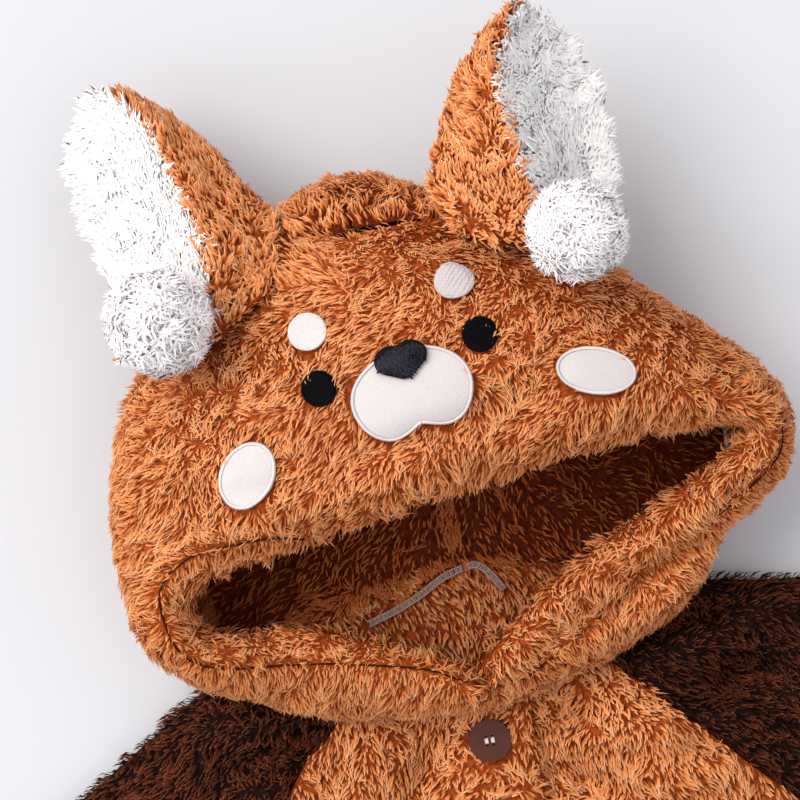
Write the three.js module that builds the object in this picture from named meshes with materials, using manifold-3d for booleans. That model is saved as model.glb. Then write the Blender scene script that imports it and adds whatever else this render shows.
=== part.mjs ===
// A hooded plush pyjama set laid flat on its back: a buttoned top with raglan sleeves and an
// animal-face hood with ears, and a pair of trousers below it.
// Millimetres, +Z up, +Y towards the head, +X towards the wearer's left.
import * as THREE from "three";
import { mergeVertices } from "three/addons/utils/BufferGeometryUtils.js";
import Module from "manifold-3d";

const wasm = await Module();
wasm.setup();

// Driving dimensions. Lengths in the top's own frame start at the front neck point.
const CLOTH = 5; // plush with its pile, one layer
const SEAM_GAP = 0.3;
const LAYER_2 = CLOTH + SEAM_GAP; // underside of the second layer
const LOFT = 3; // how far the front stands off the back
const PATCH_GAP = 0.65;
const SEAT_GAP = 0.4;
const HOOD_TURN = THREE.MathUtils.degToRad(8); // the hood lies turned a little on the neck
const HOOD_AXIS_X = 11;

const TOP = { chestHalf: 286, chestY: -240, hemHalf: 292, hemY: -680, placketHalf: 23, underHalf: 22 };
const NECK = { raglanX: 62, raglanY: -5, sideX: 115, sideY: 24, backX: 76, backY: 34, backCentreY: 48 };
const BUTTON = { radius: 11, thick: 3.2, firstY: -41, pitch: 128, count: 5 };
const HOLE = { radius: 0.8, gapX: 3.2, gapY: 4 };
const TROUSERS = { waistY: -748, bandHigh: 38, waistHalf: 176, hipY: -985, hipHalf: 262 };
const LEG = { crotchY: -1060, innerKnee: 48, outerKnee: 272, kneeY: -1360 };
const HEM = { y: -1700, inner: 112, outer: 286 };
const GATHERS = { count: 10, deep: 2 };

const FUR = { tan: 0xb8642a, dark: 0x43231a, white: 0xf3f0ee, black: 0x0c0c10, button: 0x5a3325 };

// Main folds of the front layers: a soft ridge along a line, with its height and half-width.
const FOLDS = [
  { x0: 92, y0: -9, x1: 195, y1: 4, high: 9, wide: 12 },
  { x0: 40, y0: -38, x1: 150, y1: -60, high: 14, wide: 17 },
  { x0: 60, y0: -90, x1: 215, y1: -215, high: 9, wide: 22 },
  { x0: -92, y0: -14, x1: -190, y1: -52, high: 9, wide: 15 },
  { x0: -70, y0: -60, x1: -215, y1: -190, high: 9, wide: 22 },
  { x0: -60, y0: -150, x1: -150, y1: -420, high: 7, wide: 24 },
  { x0: 90, y0: -180, x1: 140, y1: -470, high: 8, wide: 24 },
  { x0: 215, y0: -70, x1: 420, y1: -150, high: 9, wide: 24 },
  { x0: 310, y0: -235, x1: 520, y1: -205, high: 8, wide: 20 },
  { x0: 600, y0: -300, x1: 690, y1: -255, high: 7, wide: 20 },
  { x0: -260, y0: -180, x1: -410, y1: -300, high: 9, wide: 24 },
  { x0: -400, y0: -330, x1: -520, y1: -440, high: 7, wide: 20 },
  { x0: -230, y0: -330, x1: -120, y1: -610, high: 7, wide: 26 },
  { x0: 240, y0: -300, x1: 170, y1: -600, high: 7, wide: 26 },
  { x0: -40, y0: -1010, x1: -190, y1: -1130, high: 9, wide: 24 },
  { x0: 40, y0: -1010, x1: 200, y1: -1110, high: 9, wide: 24 },
  { x0: -110, y0: -1330, x1: -240, y1: -1390, high: 7, wide: 26 },
  { x0: 250, y0: -1300, x1: 120, y1: -1390, high: 7, wide: 26 },
  { x0: 210, y0: -1600, x1: 150, y1: -1450, high: 6, wide: 22 },
  { x0: -200, y0: -1620, x1: -170, y1: -1480, high: 6, wide: 22 },
];

const group = new THREE.Group();
const topGroup = new THREE.Group();
const hoodGroup = new THREE.Group();
hoodGroup.rotation.z = HOOD_TURN;
topGroup.add(hoodGroup);
group.add(topGroup);

function finish(color, roughness = 0.95) {
  return new THREE.MeshStandardMaterial({ color, roughness, metalness: 0 });
}

function addPiece(parent, name, geometry, color, roughness) {
  const mesh = new THREE.Mesh(geometry, finish(color, roughness));
  mesh.name = name;
  parent.add(mesh);
  return mesh;
}

// Rows of a table as objects, one value for each column name.
function table(columns, rows) {
  return rows.map((row) => Object.fromEntries(columns.map((column, i) => [column, row[i]])));
}

const lerp = THREE.MathUtils.lerp;
const clamp01 = (v) => Math.min(1, Math.max(0, v));
const smooth = (v) => clamp01(v) ** 2 * (3 - 2 * clamp01(v));
const mix = (a, b, t) => new THREE.Vector3().lerpVectors(a, b, t);

// Height that the folds add at a place. A fold's ends fade out over a fifth of its length.
function foldHeight(x, y) {
  let sum = 0;
  for (const fold of FOLDS) {
    const dx = fold.x1 - fold.x0;
    const dy = fold.y1 - fold.y0;
    const length = Math.hypot(dx, dy);
    const along = ((x - fold.x0) * dx + (y - fold.y0) * dy) / length ** 2;
    const across = ((y - fold.y0) * dx - (x - fold.x0) * dy) / length;
    const fade = smooth(along / 0.25 + 0.3) * smooth((1 - along) / 0.25 + 0.3);
    sum += fold.high * fade * Math.exp(-((across / fold.wide) ** 2));
  }
  return sum;
}

// A closed solid between two grids of points. wrap joins the grid's last column to its first.
function betweenGrids(outer, inner, wrap = false) {
  const rows = outer.length;
  const columns = outer[0].length;
  const points = [...outer.flat(), ...inner.flat()];
  const faces = [];
  const out = (i, j) => i * columns + (j % columns);
  const into = (i, j) => rows * columns + out(i, j);
  const quad = (a, b, c, d) => faces.push(a, b, c, a, c, d);
  const spans = wrap ? columns : columns - 1;
  for (let i = 0; i < rows - 1; i++)
    for (let j = 0; j < spans; j++) {
      quad(out(i, j), out(i, j + 1), out(i + 1, j + 1), out(i + 1, j));
      quad(into(i, j), into(i + 1, j), into(i + 1, j + 1), into(i, j + 1));
    }
  for (let j = 0; j < spans; j++) {
    quad(out(0, j), into(0, j), into(0, j + 1), out(0, j + 1));
    quad(out(rows - 1, j), out(rows - 1, j + 1), into(rows - 1, j + 1), into(rows - 1, j));
  }
  if (!wrap)
    for (let i = 0; i < rows - 1; i++) {
      quad(out(i, 0), out(i + 1, 0), into(i + 1, 0), into(i, 0));
      quad(out(i, columns - 1), into(i, columns - 1), into(i + 1, columns - 1), out(i + 1, columns - 1));
    }
  const geometry = new THREE.BufferGeometry().setFromPoints(points).setIndex(faces);
  return facingOut(geometry);
}

// The same solid with its faces turned round where they pointed in.
function facingOut(geometry) {
  const at = geometry.getAttribute("position");
  const index = geometry.getIndex();
  const corner = (k) => new THREE.Vector3().fromBufferAttribute(at, index.getX(k));
  let volume = 0;
  for (let k = 0; k < index.count; k += 3) volume += corner(k).dot(corner(k + 1).cross(corner(k + 2)));
  if (volume < 0)
    for (let k = 0; k < index.count; k += 3) {
      const first = index.getX(k);
      index.setX(k, index.getX(k + 1));
      index.setX(k + 1, first);
    }
  return geometry;
}

function solidOf(geometry) {
  const plain = geometry.clone();
  for (const name of ["normal", "uv"]) plain.deleteAttribute(name);
  const merged = mergeVertices(plain, 1e-4);
  return new wasm.Manifold(
    new wasm.Mesh({
      numProp: 3,
      vertProperties: new Float32Array(merged.getAttribute("position").array),
      triVerts: new Uint32Array(merged.getIndex().array),
    }),
  );
}

function geometryOf(solid) {
  const mesh = solid.getMesh();
  const points = [];
  for (let i = 0; i < mesh.numVert; i++)
    points.push(new THREE.Vector3().fromArray(mesh.vertProperties, i * mesh.numProp));
  return new THREE.BufferGeometry().setFromPoints(points).setIndex([...mesh.triVerts]);
}

// A grid of points from a surface given by two shares, each from 0 to 1.
function grid(surface, rows, columns) {
  return rows.map((v) => columns.map((u) => surface(u, v)));
}

const shares = (count) => Array.from({ length: count + 1 }, (_, i) => i / count);

// A cloth wall: the surface is its outer face, and the wall grows inwards along its normals.
function wall(surface, rows, columns, thick) {
  const step = 1e-3;
  const outer = grid(surface, rows, columns);
  const inner = rows.map((v, i) =>
    columns.map((u, j) => {
      const alongU = surface(Math.min(1, u + step), v).sub(surface(Math.max(0, u - step), v));
      const alongV = surface(u, Math.min(1, v + step)).sub(surface(u, Math.max(0, v - step)));
      const normal = alongU.cross(alongV).normalize();
      return outer[i][j].clone().addScaledVector(normal, -thick(u, v));
    }),
  );
  return betweenGrids(outer, inner);
}

// A layer of cloth lying flat: plan gives a place from two shares, under and over its two heights.
function layer(plan, under, over, rows, columns) {
  const place = (height) => (u, v) => {
    const p = plan(u, v);
    return new THREE.Vector3(p.x, p.y, height(p.x, p.y));
  };
  return betweenGrids(grid(place(over), rows, columns), grid(place(under), rows, columns));
}

// A value between the rows of a table, on a smooth curve through them that doesn't overshoot.
function between(rows, column, share) {
  const place = clamp01(share) * (rows.length - 1);
  const i = Math.min(rows.length - 2, Math.floor(place));
  const f = place - i;
  const at = (k) => rows[Math.min(rows.length - 1, Math.max(0, k))][column];
  const tangent = (k) => {
    const before = at(k) - at(k - 1);
    const after = at(k + 1) - at(k);
    const limit = 2.6 * Math.min(Math.abs(before), Math.abs(after));
    return before * after <= 0 ? 0 : Math.sign(after) * Math.min(limit, Math.abs(before + after) / 2);
  };
  const h = f * f * (3 - 2 * f);
  return (
    at(i) * (1 - h) + at(i + 1) * h + tangent(i) * f * (1 - f) ** 2 - tangent(i + 1) * (1 - f) * f ** 2
  );
}

// Top: fronts and back.
const frontHeight = (x, y) => LAYER_2 + CLOTH + LOFT + foldHeight(x, y) * smooth((Math.abs(x) - 26) / 30);

// Half-width of the top at a height, out to the raglan seam above the chest and the side seam below it.
function topHalf(y, neckX, neckY) {
  if (y > TOP.chestY) return lerp(neckX, TOP.chestHalf, (neckY - y) / (neckY - TOP.chestY));
  return lerp(TOP.chestHalf, TOP.hemHalf, (TOP.chestY - y) / (TOP.chestY - TOP.hemY));
}

// Heights of a panel's rows, closer together by the neck, where the folds are small.
const bodyRows = (count) => shares(count).map((v) => v ** 1.35);

// Height of the top's front at a place: the lapped edge lies flat, and the panels rise past it.
function lappedHeight(x, y) {
  return lerp(LAYER_2 + CLOTH, frontHeight(x, y), smooth((x - TOP.placketHalf - 3) / 24));
}
function lappingHeight(x, y) {
  return frontHeight(x, y) + (LAYER_2 - LOFT) * smooth((x + 64) / 40);
}
const topHeight = (x, y) => (x < TOP.placketHalf ? lappingHeight(x, y) : frontHeight(x, y));

// Columns of a front panel: distances in from its front edge, then shares of what is left.
const LAPPED = { edgeX: -TOP.underHalf, near: [0, 24, 48.2, 56, 64, 74] };
const LAPPING = { edgeX: TOP.placketHalf, near: [0, 23, 46, 56, 66, 76, 86] };
const FAR = [0.2, 0.4, 0.6, 0.8, 1];

function frontPanel(side) {
  const edge = side < 0 ? LAPPING : LAPPED;
  const height = side < 0 ? lappingHeight : lappedHeight;
  const last = edge.near.length - 1;
  const place = (k, y) => {
    const width = topHalf(y, NECK.raglanX, NECK.raglanY) - SEAM_GAP - side * edge.edgeX;
    return edge.edgeX + side * (k > last ? lerp(edge.near[last], width, FAR[k - last - 1]) : edge.near[k]);
  };
  const columns = last + FAR.length;
  const plan = (u, v) => {
    const y = lerp(NECK.raglanY, TOP.hemY, v);
    return { x: place(Math.round(u * columns), y), y };
  };
  return layer(plan, (x, y) => height(x, y) - CLOTH, height, bodyRows(18), shares(columns));
}

const backNeckY = (x) => NECK.backY + (NECK.backCentreY - NECK.backY) * (1 - (x / NECK.backX) ** 2);

function backPanel() {
  const plan = (u, v) => {
    const across = 2 * u - 1;
    const y = lerp(NECK.backY, TOP.hemY, v);
    const x = across * (topHalf(y, NECK.backX, NECK.backY) - SEAM_GAP);
    return { x, y: v === 0 ? backNeckY(x) : y };
  };
  return layer(plan, () => 0, () => CLOTH, bodyRows(5), shares(12));
}

addPiece(topGroup, "front_right", frontPanel(-1), FUR.tan);
addPiece(topGroup, "front_left", frontPanel(1), FUR.tan);
addPiece(topGroup, "back", backPanel(), FUR.tan);

// Buttons: a turned disc with four thread holes, on the placket.
function circle(radius, sides, x = 0, y = 0) {
  const at = (k) => (k / sides) * 2 * Math.PI;
  const corner = (_, k) => new THREE.Vector2(x + radius * Math.cos(at(k)), y + radius * Math.sin(at(k)));
  return Array.from({ length: sides }, corner);
}

function buttonGeometry() {
  const shape = new THREE.Shape(circle(BUTTON.radius, 18));
  for (const side of [-1, 1])
    for (const end of [-1, 1]) {
      const hole = circle(HOLE.radius, 6, (side * HOLE.gapX) / 2, (end * HOLE.gapY) / 2);
      shape.holes.push(new THREE.Path(hole.reverse()));
    }
  return new THREE.ExtrudeGeometry(shape, { depth: BUTTON.thick, bevelEnabled: false });
}

for (let i = 0; i < BUTTON.count; i++) {
  const button = addPiece(topGroup, `button_${i + 1}`, buttonGeometry(), FUR.button, 0.35);
  button.position.set(0, BUTTON.firstY - i * BUTTON.pitch, topHeight(0, BUTTON.firstY) + SEAM_GAP);
}

// Raglan sleeves: one cloth each, sewn into a flat tube.
// Rows run from the neck to the wrist: over is the shoulder edge, under the underarm edge.
const SLEEVES = {
  sleeve_right: [
    { overX: -115, overY: 24, underX: -286, underY: -240 },
    { overX: -146, overY: 8, underX: -318, underY: -276 },
    { overX: -190, overY: -22, underX: -352, underY: -314 },
    { overX: -300, overY: -92, underX: -420, underY: -352 },
    { overX: -428, overY: -184, underX: -490, underY: -396 },
    { overX: -562, overY: -282, underX: -562, underY: -440 },
    { overX: -680, overY: -366, underX: -622, underY: -474 },
  ],
  sleeve_left: [
    { overX: 115, overY: 24, underX: 286, underY: -240 },
    { overX: 152, overY: 17, underX: 330, underY: -268 },
    { overX: 215, overY: 4, underX: 382, underY: -290 },
    { overX: 322, overY: -62, underX: 440, underY: -322 },
    { overX: 452, overY: -138, underX: 512, underY: -350 },
    { overX: 586, overY: -222, underX: 588, underY: -380 },
    { overX: 706, overY: -296, underX: 652, underY: -406 },
  ],
};

// The plan of the sleeve's top end: along the neck edge, then down the raglan seam.
const NECK_CORNER = 0.16;

function sleeveHead(side, w, neckX, neckY) {
  const corner = NECK_CORNER;
  const along = w / corner;
  if (w < corner) return { x: side * lerp(NECK.sideX, neckX, along), y: lerp(NECK.sideY, neckY, along) };
  const down = (w - corner) / (1 - corner);
  return { x: side * lerp(neckX, TOP.chestHalf, down), y: lerp(neckY, TOP.chestY, down) };
}

function sleeve(side, rows) {
  const plan = (w, s, neckX, neckY) => {
    const x = lerp(between(rows, "overX", s), between(rows, "underX", s), w);
    const y = lerp(between(rows, "overY", s), between(rows, "underY", s), w);
    const head = sleeveHead(side, w, neckX, neckY);
    const bend = (1 - s) ** 6;
    return {
      x: x + (head.x - lerp(side * NECK.sideX, side * TOP.chestHalf, w)) * bend,
      y: y + (head.y - lerp(NECK.sideY, TOP.chestY, w)) * bend,
    };
  };
  const across = [0.025, 0.08, NECK_CORNER, 0.22, 0.32, 0.43, 0.54, 0.65, 0.76, 0.86, 0.94, 0.98];
  const ring = (s, thick) => {
    const inset = thick ? CLOTH / 120 : 0;
    const squeeze = (w) => inset + w * (1 - 2 * inset);
    const upper = across.map((w) => {
      const p = plan(squeeze(w), s, NECK.raglanX + SEAM_GAP, NECK.raglanY);
      const z = frontHeight(p.x, p.y);
      return new THREE.Vector3(p.x, p.y, thick ? z - CLOTH : z);
    });
    const lower = across.map((w) => {
      const p = plan(squeeze(w), s, NECK.backX + SEAM_GAP, NECK.backY);
      return new THREE.Vector3(p.x, p.y, thick ? CLOTH : 0);
    });
    const edge = (w) => {
      const p = plan(squeeze(w), s, NECK.raglanX, NECK.raglanY);
      return new THREE.Vector3(p.x, p.y, (LAYER_2 + CLOTH) / 2 + LOFT / 2);
    };
    return [edge(0), ...upper, edge(1), ...lower.reverse()];
  };
  const stations = [0, 0.05, 0.11, 0.18, 0.26, 0.35, 0.45, 0.56, 0.67, 0.78, 0.89, 1];
  const clear = (s) => s * 0.998 + 0.002;
  return betweenGrids(
    stations.map((s) => ring(clear(s), false)),
    stations.map((s) => ring(clear(s), true)),
    true,
  );
}

addPiece(topGroup, "sleeve_right", sleeve(-1, SLEEVES.sleeve_right), FUR.dark);
addPiece(topGroup, "sleeve_left", sleeve(1, SLEEVES.sleeve_left), FUR.dark);

// Hood.
// A row is a section of the hood, from the face opening over the top and round to where its cloth
// ends. Rows go round the opening, from the neck's right front over the crown to its left front. end is
// the row's place on SEAM_LINE, seam the share of the section that the face panel covers, and dent the
// depth of the hollow outside the lip.
const HOOD = table(
  ["mouthX", "mouthY", "mouthZ", "crestZ", "rimX", "rimY", "rimZ", "end", "seam", "dent"],
  [
    [-0.8, 1, 46, 54, -3.2, -23, 27, 0, 1, 2],
    [-34, 22, 50, 61, -42, -14, 26, 0.62, 1, 3],
    [-72, 46, 55, 68, -75, -6, 25, 1.07, 1, 4],
    [-104, 55, 60, 76, -108, 14, 27, 1.7, 1, 4],
    [-121, 62, 64, 82, -138, 34, 38, 2, 1, 3],
    [-126, 73, 68, 88, -158, 68, 54, 3, 0.8, 2],
    [-122, 79, 73, 93, -156, 104, 56, 4, 0.78, 1],
    [-108, 84, 81, 100, -150, 138, 55, 4.2, 0.75, 0],
    [-84, 86, 90, 110, -134, 172, 53, 4.4, 0.66, 0],
    [-54, 87, 97, 119, -104, 202, 50, 4.6, 0.56, 0],
    [-22, 88, 101, 124, -44, 242, 48, 4.8, 0.45, 0],
    [11, 88, 103, 126, 8, 259, 48, 5, 0.41, 0],
    [44, 88, 101, 124, 56, 233, 50, 5.2, 0.46, 0],
    [76, 89, 98, 119, 110, 188, 51, 5.4, 0.57, 0],
    [106, 87, 92, 111, 148, 146, 53, 5.6, 0.67, 0],
    [134, 84, 83, 101, 176, 110, 55, 5.8, 0.75, 0],
    [154, 80, 75, 94, 189, 80, 55, 6, 0.78, 1],
    [162, 74, 70, 90, 178, 46, 48, 7, 0.8, 3],
    [148, 66, 66, 84, 136, 24, 36, 8, 1, 8],
    [120, 56, 61, 77, 117, 0, 26, 8.1, 1, 10],
    [86, 45, 56, 69, 85, -13, 25, 8.62, 1, 9],
    [42, 27, 51, 61, 37, -22, 26, 9.4, 1, 6],
    [0.9, 1, 46, 54, -0.4, -23, 27, 10, 1, 3],
  ],
);
// Shares of a section at the crest, the rim and the floor.
const SECTION = { lipEnd: 0.16, domeEnd: 0.6, tuckEnd: 0.8 };
const CREST_IN = 15; // from the opening's edge to the lip's crest, in plan
const CREST_SHARE = 0.13; // and how much of a longer section that is
const TUCK = 34; // how far the side rolls under, from the rim to the floor
const SIDE_ROW = 5; // the row where the back of the hood starts, and ends on the other side
const SEAM_VALLEY = { deep: 7, wide: 0.09 };
const NECK_OVER = 1.5; // how far the hood's neck edge lies over the top's front
const DENT = { at: 0.27, wide: 0.07 }; // the hollow outside the rolled lip

// Where the hood's cloth ends, in the top's frame: round the front neckline, the back neckline, then up
// the centre back.
const SEAM_LINE = [
  { x: 0.8, y: NECK.raglanY - NECK_OVER, low: 1 },
  { x: NECK.raglanX, y: NECK.raglanY - NECK_OVER, low: 1 },
  { x: NECK.sideX + 0.8, y: NECK.sideY, low: 1 },
  { x: NECK.backX, y: NECK.backY + 0.8, low: 0 },
  { x: SEAM_GAP, y: NECK.backCentreY + 0.8, low: 0 },
  { x: SEAM_GAP, y: 148, low: 0 },
];
const CENTRE_BACK_LEAN = -0.08; // the centre back seam leans with the hood

function seamPlace(end) {
  const side = end > SEAM_LINE.length - 1 ? 1 : -1;
  const q = side > 0 ? 2 * (SEAM_LINE.length - 1) - end : end;
  const i = Math.min(SEAM_LINE.length - 2, Math.floor(q));
  const from = SEAM_LINE[i];
  const to = SEAM_LINE[i + 1];
  const x = lerp(from.x, to.x, q - i);
  const y = i === 3 ? backNeckY(x) + 0.8 : lerp(from.y, to.y, q - i);
  const lean = CENTRE_BACK_LEAN * Math.max(0, y - SEAM_LINE[4].y);
  const lift = lerp(from.low, to.low, q - i);
  return new THREE.Vector3(side * x + lean, y, lift * (topHeight(side * x, y) + 0.6));
}

const Z_AXIS = new THREE.Vector3(0, 0, 1);
const toHood = (p) => p.applyAxisAngle(Z_AXIS, -HOOD_TURN);
const toTop = (p) => p.clone().applyAxisAngle(Z_AXIS, HOOD_TURN);

// Height of the top's cloth under a place of the hood, where the hood's front lies on it.
function clothUnder(p) {
  const on = toTop(p);
  const side = Math.sign(on.x);
  const x = Math.abs(on.x);
  const past = clamp01((x - NECK.raglanX) / (NECK.sideX - NECK.raglanX));
  const edge = lerp(NECK.raglanY, NECK.sideY, past);
  const near = smooth((edge + 2 - on.y) / 3) * smooth((NECK.sideX + 30 - x) / 25);
  return (topHeight(side * x, on.y) + 0.6) * near;
}

function hoodPoint(a, t) {
  const at = (column) => between(HOOD, column, a);
  const mouth = new THREE.Vector3(at("mouthX"), at("mouthY"), at("mouthZ"));
  const rim = new THREE.Vector3(at("rimX"), at("rimY"), at("rimZ"));
  const end = toHood(seamPlace(at("end")));
  const crestZ = at("crestZ");
  const wide = Math.hypot(rim.x - mouth.x, rim.y - mouth.y);
  const crestAt = clamp01((CREST_IN + CREST_SHARE * Math.max(0, wide - 40)) / wide);
  const quarter = (from, to) => (clamp01((t - from) / (to - from)) * Math.PI) / 2;
  if (t < SECTION.lipEnd) {
    const turn = quarter(0, SECTION.lipEnd);
    const p = mix(mouth, rim, crestAt * (1 - Math.cos(turn)));
    return p.setZ(lerp(mouth.z, crestZ, Math.sin(turn)));
  }
  if (t < SECTION.domeEnd) {
    const turn = quarter(SECTION.lipEnd, SECTION.domeEnd);
    const p = mix(mouth, rim, lerp(crestAt, 1, Math.sin(turn)));
    const fromSeam = (t - at("seam")) / SEAM_VALLEY.wide;
    const valley = SEAM_VALLEY.deep * Math.exp(-(fromSeam ** 2)) * Math.cos(turn);
    const dent = at("dent") * Math.exp(-(((t - DENT.at) / DENT.wide) ** 2));
    return p.setZ(lerp(rim.z, crestZ, Math.cos(turn)) - valley - dent);
  }
  const inward = new THREE.Vector3(end.x - rim.x, end.y - rim.y, 0);
  const tuck = Math.min(TUCK, inward.length() * 0.8);
  const turn = quarter(SECTION.domeEnd, SECTION.tuckEnd);
  const foot = rim.clone().addScaledVector(inward.normalize(), tuck * (1 - Math.cos(turn)));
  foot.z = lerp(end.z, rim.z, 1 - Math.sin(turn));
  const p = t < SECTION.tuckEnd ? foot : mix(foot, end, (t - SECTION.tuckEnd) / (1 - SECTION.tuckEnd));
  return p.setZ(Math.max(p.z, clothUnder(p)));
}

const LAST_ROW = HOOD.length - 1;
const hemThick = (t) => CLOTH + 3 * smooth(1 - t / SECTION.lipEnd);

// Share of the section at row k where the face panel ends. At the side it runs down to the neck seam.
function panelEnd(k) {
  const fromSide = Math.min(k, LAST_ROW - k) - (SIDE_ROW - 1);
  if (fromSide <= 1 / 3) return 1;
  const seam = between(HOOD, "seam", Math.min(Math.max(k, SIDE_ROW), LAST_ROW - SIDE_ROW) / LAST_ROW);
  return fromSide >= 2 / 3 ? seam : lerp(1, seam, 3 * fromSide - 1);
}

// Row numbers a third apart, so that the pieces share their stations along a seam.
const thirds = (from, to) => shares(Math.round(3 * (to - from))).map((u) => lerp(from, to, u));

// The face panel runs round the whole opening.
function hoodFront() {
  const endAt = (a) => panelEnd(a * LAST_ROW);
  const surface = (a, v) => hoodPoint(a, v * (endAt(a) - (endAt(a) < 1 ? 0.002 : 0)));
  const rows = [0, 0.07, 0.15, 0.21, 0.28, 0.37, 0.5, 0.65, 0.82, 1];
  const stations = thirds(0, LAST_ROW).map((k) => k / LAST_ROW);
  return wall(surface, rows, stations, (a, v) => hemThick(v * endAt(a)));
}

// Each half of the back runs from the face panel's seam over the crown, under, and in to the centre
// back seam.
function hoodBack(side) {
  const first = SIDE_ROW - 1 + 0.39;
  const middle = LAST_ROW / 2 - 0.006;
  const stations = [first, ...thirds(SIDE_ROW - 1 / 3, LAST_ROW / 2 - 1 / 3), middle];
  const rowAt = (u) => (side < 0 ? u * LAST_ROW : LAST_ROW - u * LAST_ROW);
  const surface = (u, v) => {
    const k = rowAt(u);
    const clear = u * LAST_ROW < SIDE_ROW + 0.5 ? 0.016 : 0.004;
    return hoodPoint(k / LAST_ROW, lerp(Math.min(0.99, panelEnd(k) + clear), 1, v));
  };
  const rows = [0, 0.12, 0.25, 0.38, 0.5, 0.64, 0.82, 1];
  return wall(surface, rows, stations.map((k) => k / LAST_ROW), () => side * -CLOTH);
}

const hoodFace = addPiece(hoodGroup, "hood_front", hoodFront(), FUR.tan);
const hoodPieces = [hoodFace];
hoodPieces.push(addPiece(hoodGroup, "hood_back_right", hoodBack(-1), FUR.tan));
hoodPieces.push(addPiece(hoodGroup, "hood_back_left", hoodBack(1), FUR.tan));

// Face patches, each lying on the face panel.
const downwards = new THREE.Raycaster();
hoodFace.material.side = THREE.DoubleSide;
const facePlain = new THREE.Mesh(hoodFace.geometry, hoodFace.material);
function onFace(x, y) {
  downwards.set(new THREE.Vector3(x, y, 400), new THREE.Vector3(0, 0, -1));
  const hit = downwards.intersectObject(facePlain)[0];
  return { z: hit.point.z, slope: Math.max(0.5, hit.face.normal.z) };
}

const OVAL = () => 1;
// A heart, point down: two round lobes at the top.
const HEART = (angle) => {
  const lobes = 0.16 * Math.cos(2 * angle) - 0.2 * Math.exp(-(((angle - Math.PI / 2) / 0.34) ** 2));
  const point = 0.3 * Math.exp(-(((angle + Math.PI / 2) / 0.42) ** 2));
  return 0.95 + lobes + point;
};
// A muzzle: narrow above, with two round lobes below and a notch between them.
const MUZZLE = (angle) => {
  const notch = 0.34 * Math.exp(-(((angle + Math.PI / 2) / 0.32) ** 2));
  const lobes = 0.14 * (Math.exp(-(((angle + 1.02) / 0.5) ** 2)) + Math.exp(-(((angle + 2.12) / 0.5) ** 2)));
  return 1 + lobes - notch;
};
const PATCHES = table(
  ["name", "x", "y", "halfWide", "halfHigh", "turn", "outline", "thick", "color", "on"],
  [
    ["eye_right", -31, 157, 8.5, 8.8, 0, OVAL, 1.6, FUR.black, 0],
    ["eye_left", 51, 158, 8.7, 8.6, 0, OVAL, 1.6, FUR.black, 0],
    ["brow_right", -28, 185, 9.6, 9.2, 0, OVAL, 1.6, FUR.white, 0],
    ["brow_left", 47, 186, 10.2, 8.2, 0, OVAL, 1.6, FUR.white, 0],
    ["cheek_right", -77, 128, 17, 13, 0.75, OVAL, 2.4, FUR.white, 0],
    ["cheek_left", 99, 124, 20, 11.5, -0.42, OVAL, 2.4, FUR.white, 0],
    ["muzzle", 11, 142, 30, 21, 0, MUZZLE, 3, FUR.white, 0],
    ["nose", 11, 159, 12, 10, 0, HEART, 2, FUR.black, 3.4],
  ],
);

function patchGeometry(patch) {
  const spokes = patch.outline === OVAL ? 16 : 28;
  const rings = [0.62, 1];
  const place = (share, k, lift) => {
    const angle = (k / spokes) * 2 * Math.PI;
    const reach = share * patch.outline(angle > Math.PI ? angle - 2 * Math.PI : angle);
    const along = Math.cos(angle) * reach * patch.halfWide;
    const across = Math.sin(angle) * reach * patch.halfHigh;
    const x = patch.x + along * Math.cos(patch.turn) - across * Math.sin(patch.turn);
    const y = patch.y + along * Math.sin(patch.turn) + across * Math.cos(patch.turn);
    const face = onFace(x, y);
    return new THREE.Vector3(x, y, face.z + (PATCH_GAP + patch.on + lift) / face.slope);
  };
  // Two domed discs of rings, joined at the rim.
  const points = [];
  for (const top of [true, false]) {
    points.push(place(0, 0, top ? patch.thick : 0));
    for (const share of rings) {
      const lift = top ? patch.thick * (1 - 0.4 * share ** 3) : 0;
      for (let k = 0; k < spokes; k++) points.push(place(share, k, lift));
    }
  }
  const under = 1 + rings.length * spokes;
  const at = (base, ring, k) => base + 1 + ring * spokes + (k % spokes);
  const faces = [];
  for (let k = 0; k < spokes; k++) {
    faces.push(0, at(0, 0, k), at(0, 0, k + 1), under, at(under, 0, k + 1), at(under, 0, k));
    for (let r = 0; r < rings.length - 1; r++) {
      faces.push(at(0, r, k), at(0, r + 1, k), at(0, r + 1, k + 1));
      faces.push(at(0, r, k), at(0, r + 1, k + 1), at(0, r, k + 1));
      faces.push(at(under, r, k), at(under, r + 1, k + 1), at(under, r + 1, k));
      faces.push(at(under, r, k), at(under, r, k + 1), at(under, r + 1, k + 1));
    }
    const rim = rings.length - 1;
    faces.push(at(0, rim, k), at(under, rim, k), at(under, rim, k + 1));
    faces.push(at(0, rim, k), at(under, rim, k + 1), at(0, rim, k + 1));
  }
  return facingOut(new THREE.BufferGeometry().setFromPoints(points).setIndex(faces));
}

for (const patch of PATCHES) addPiece(hoodGroup, patch.name, patchGeometry(patch), patch.color);

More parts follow.
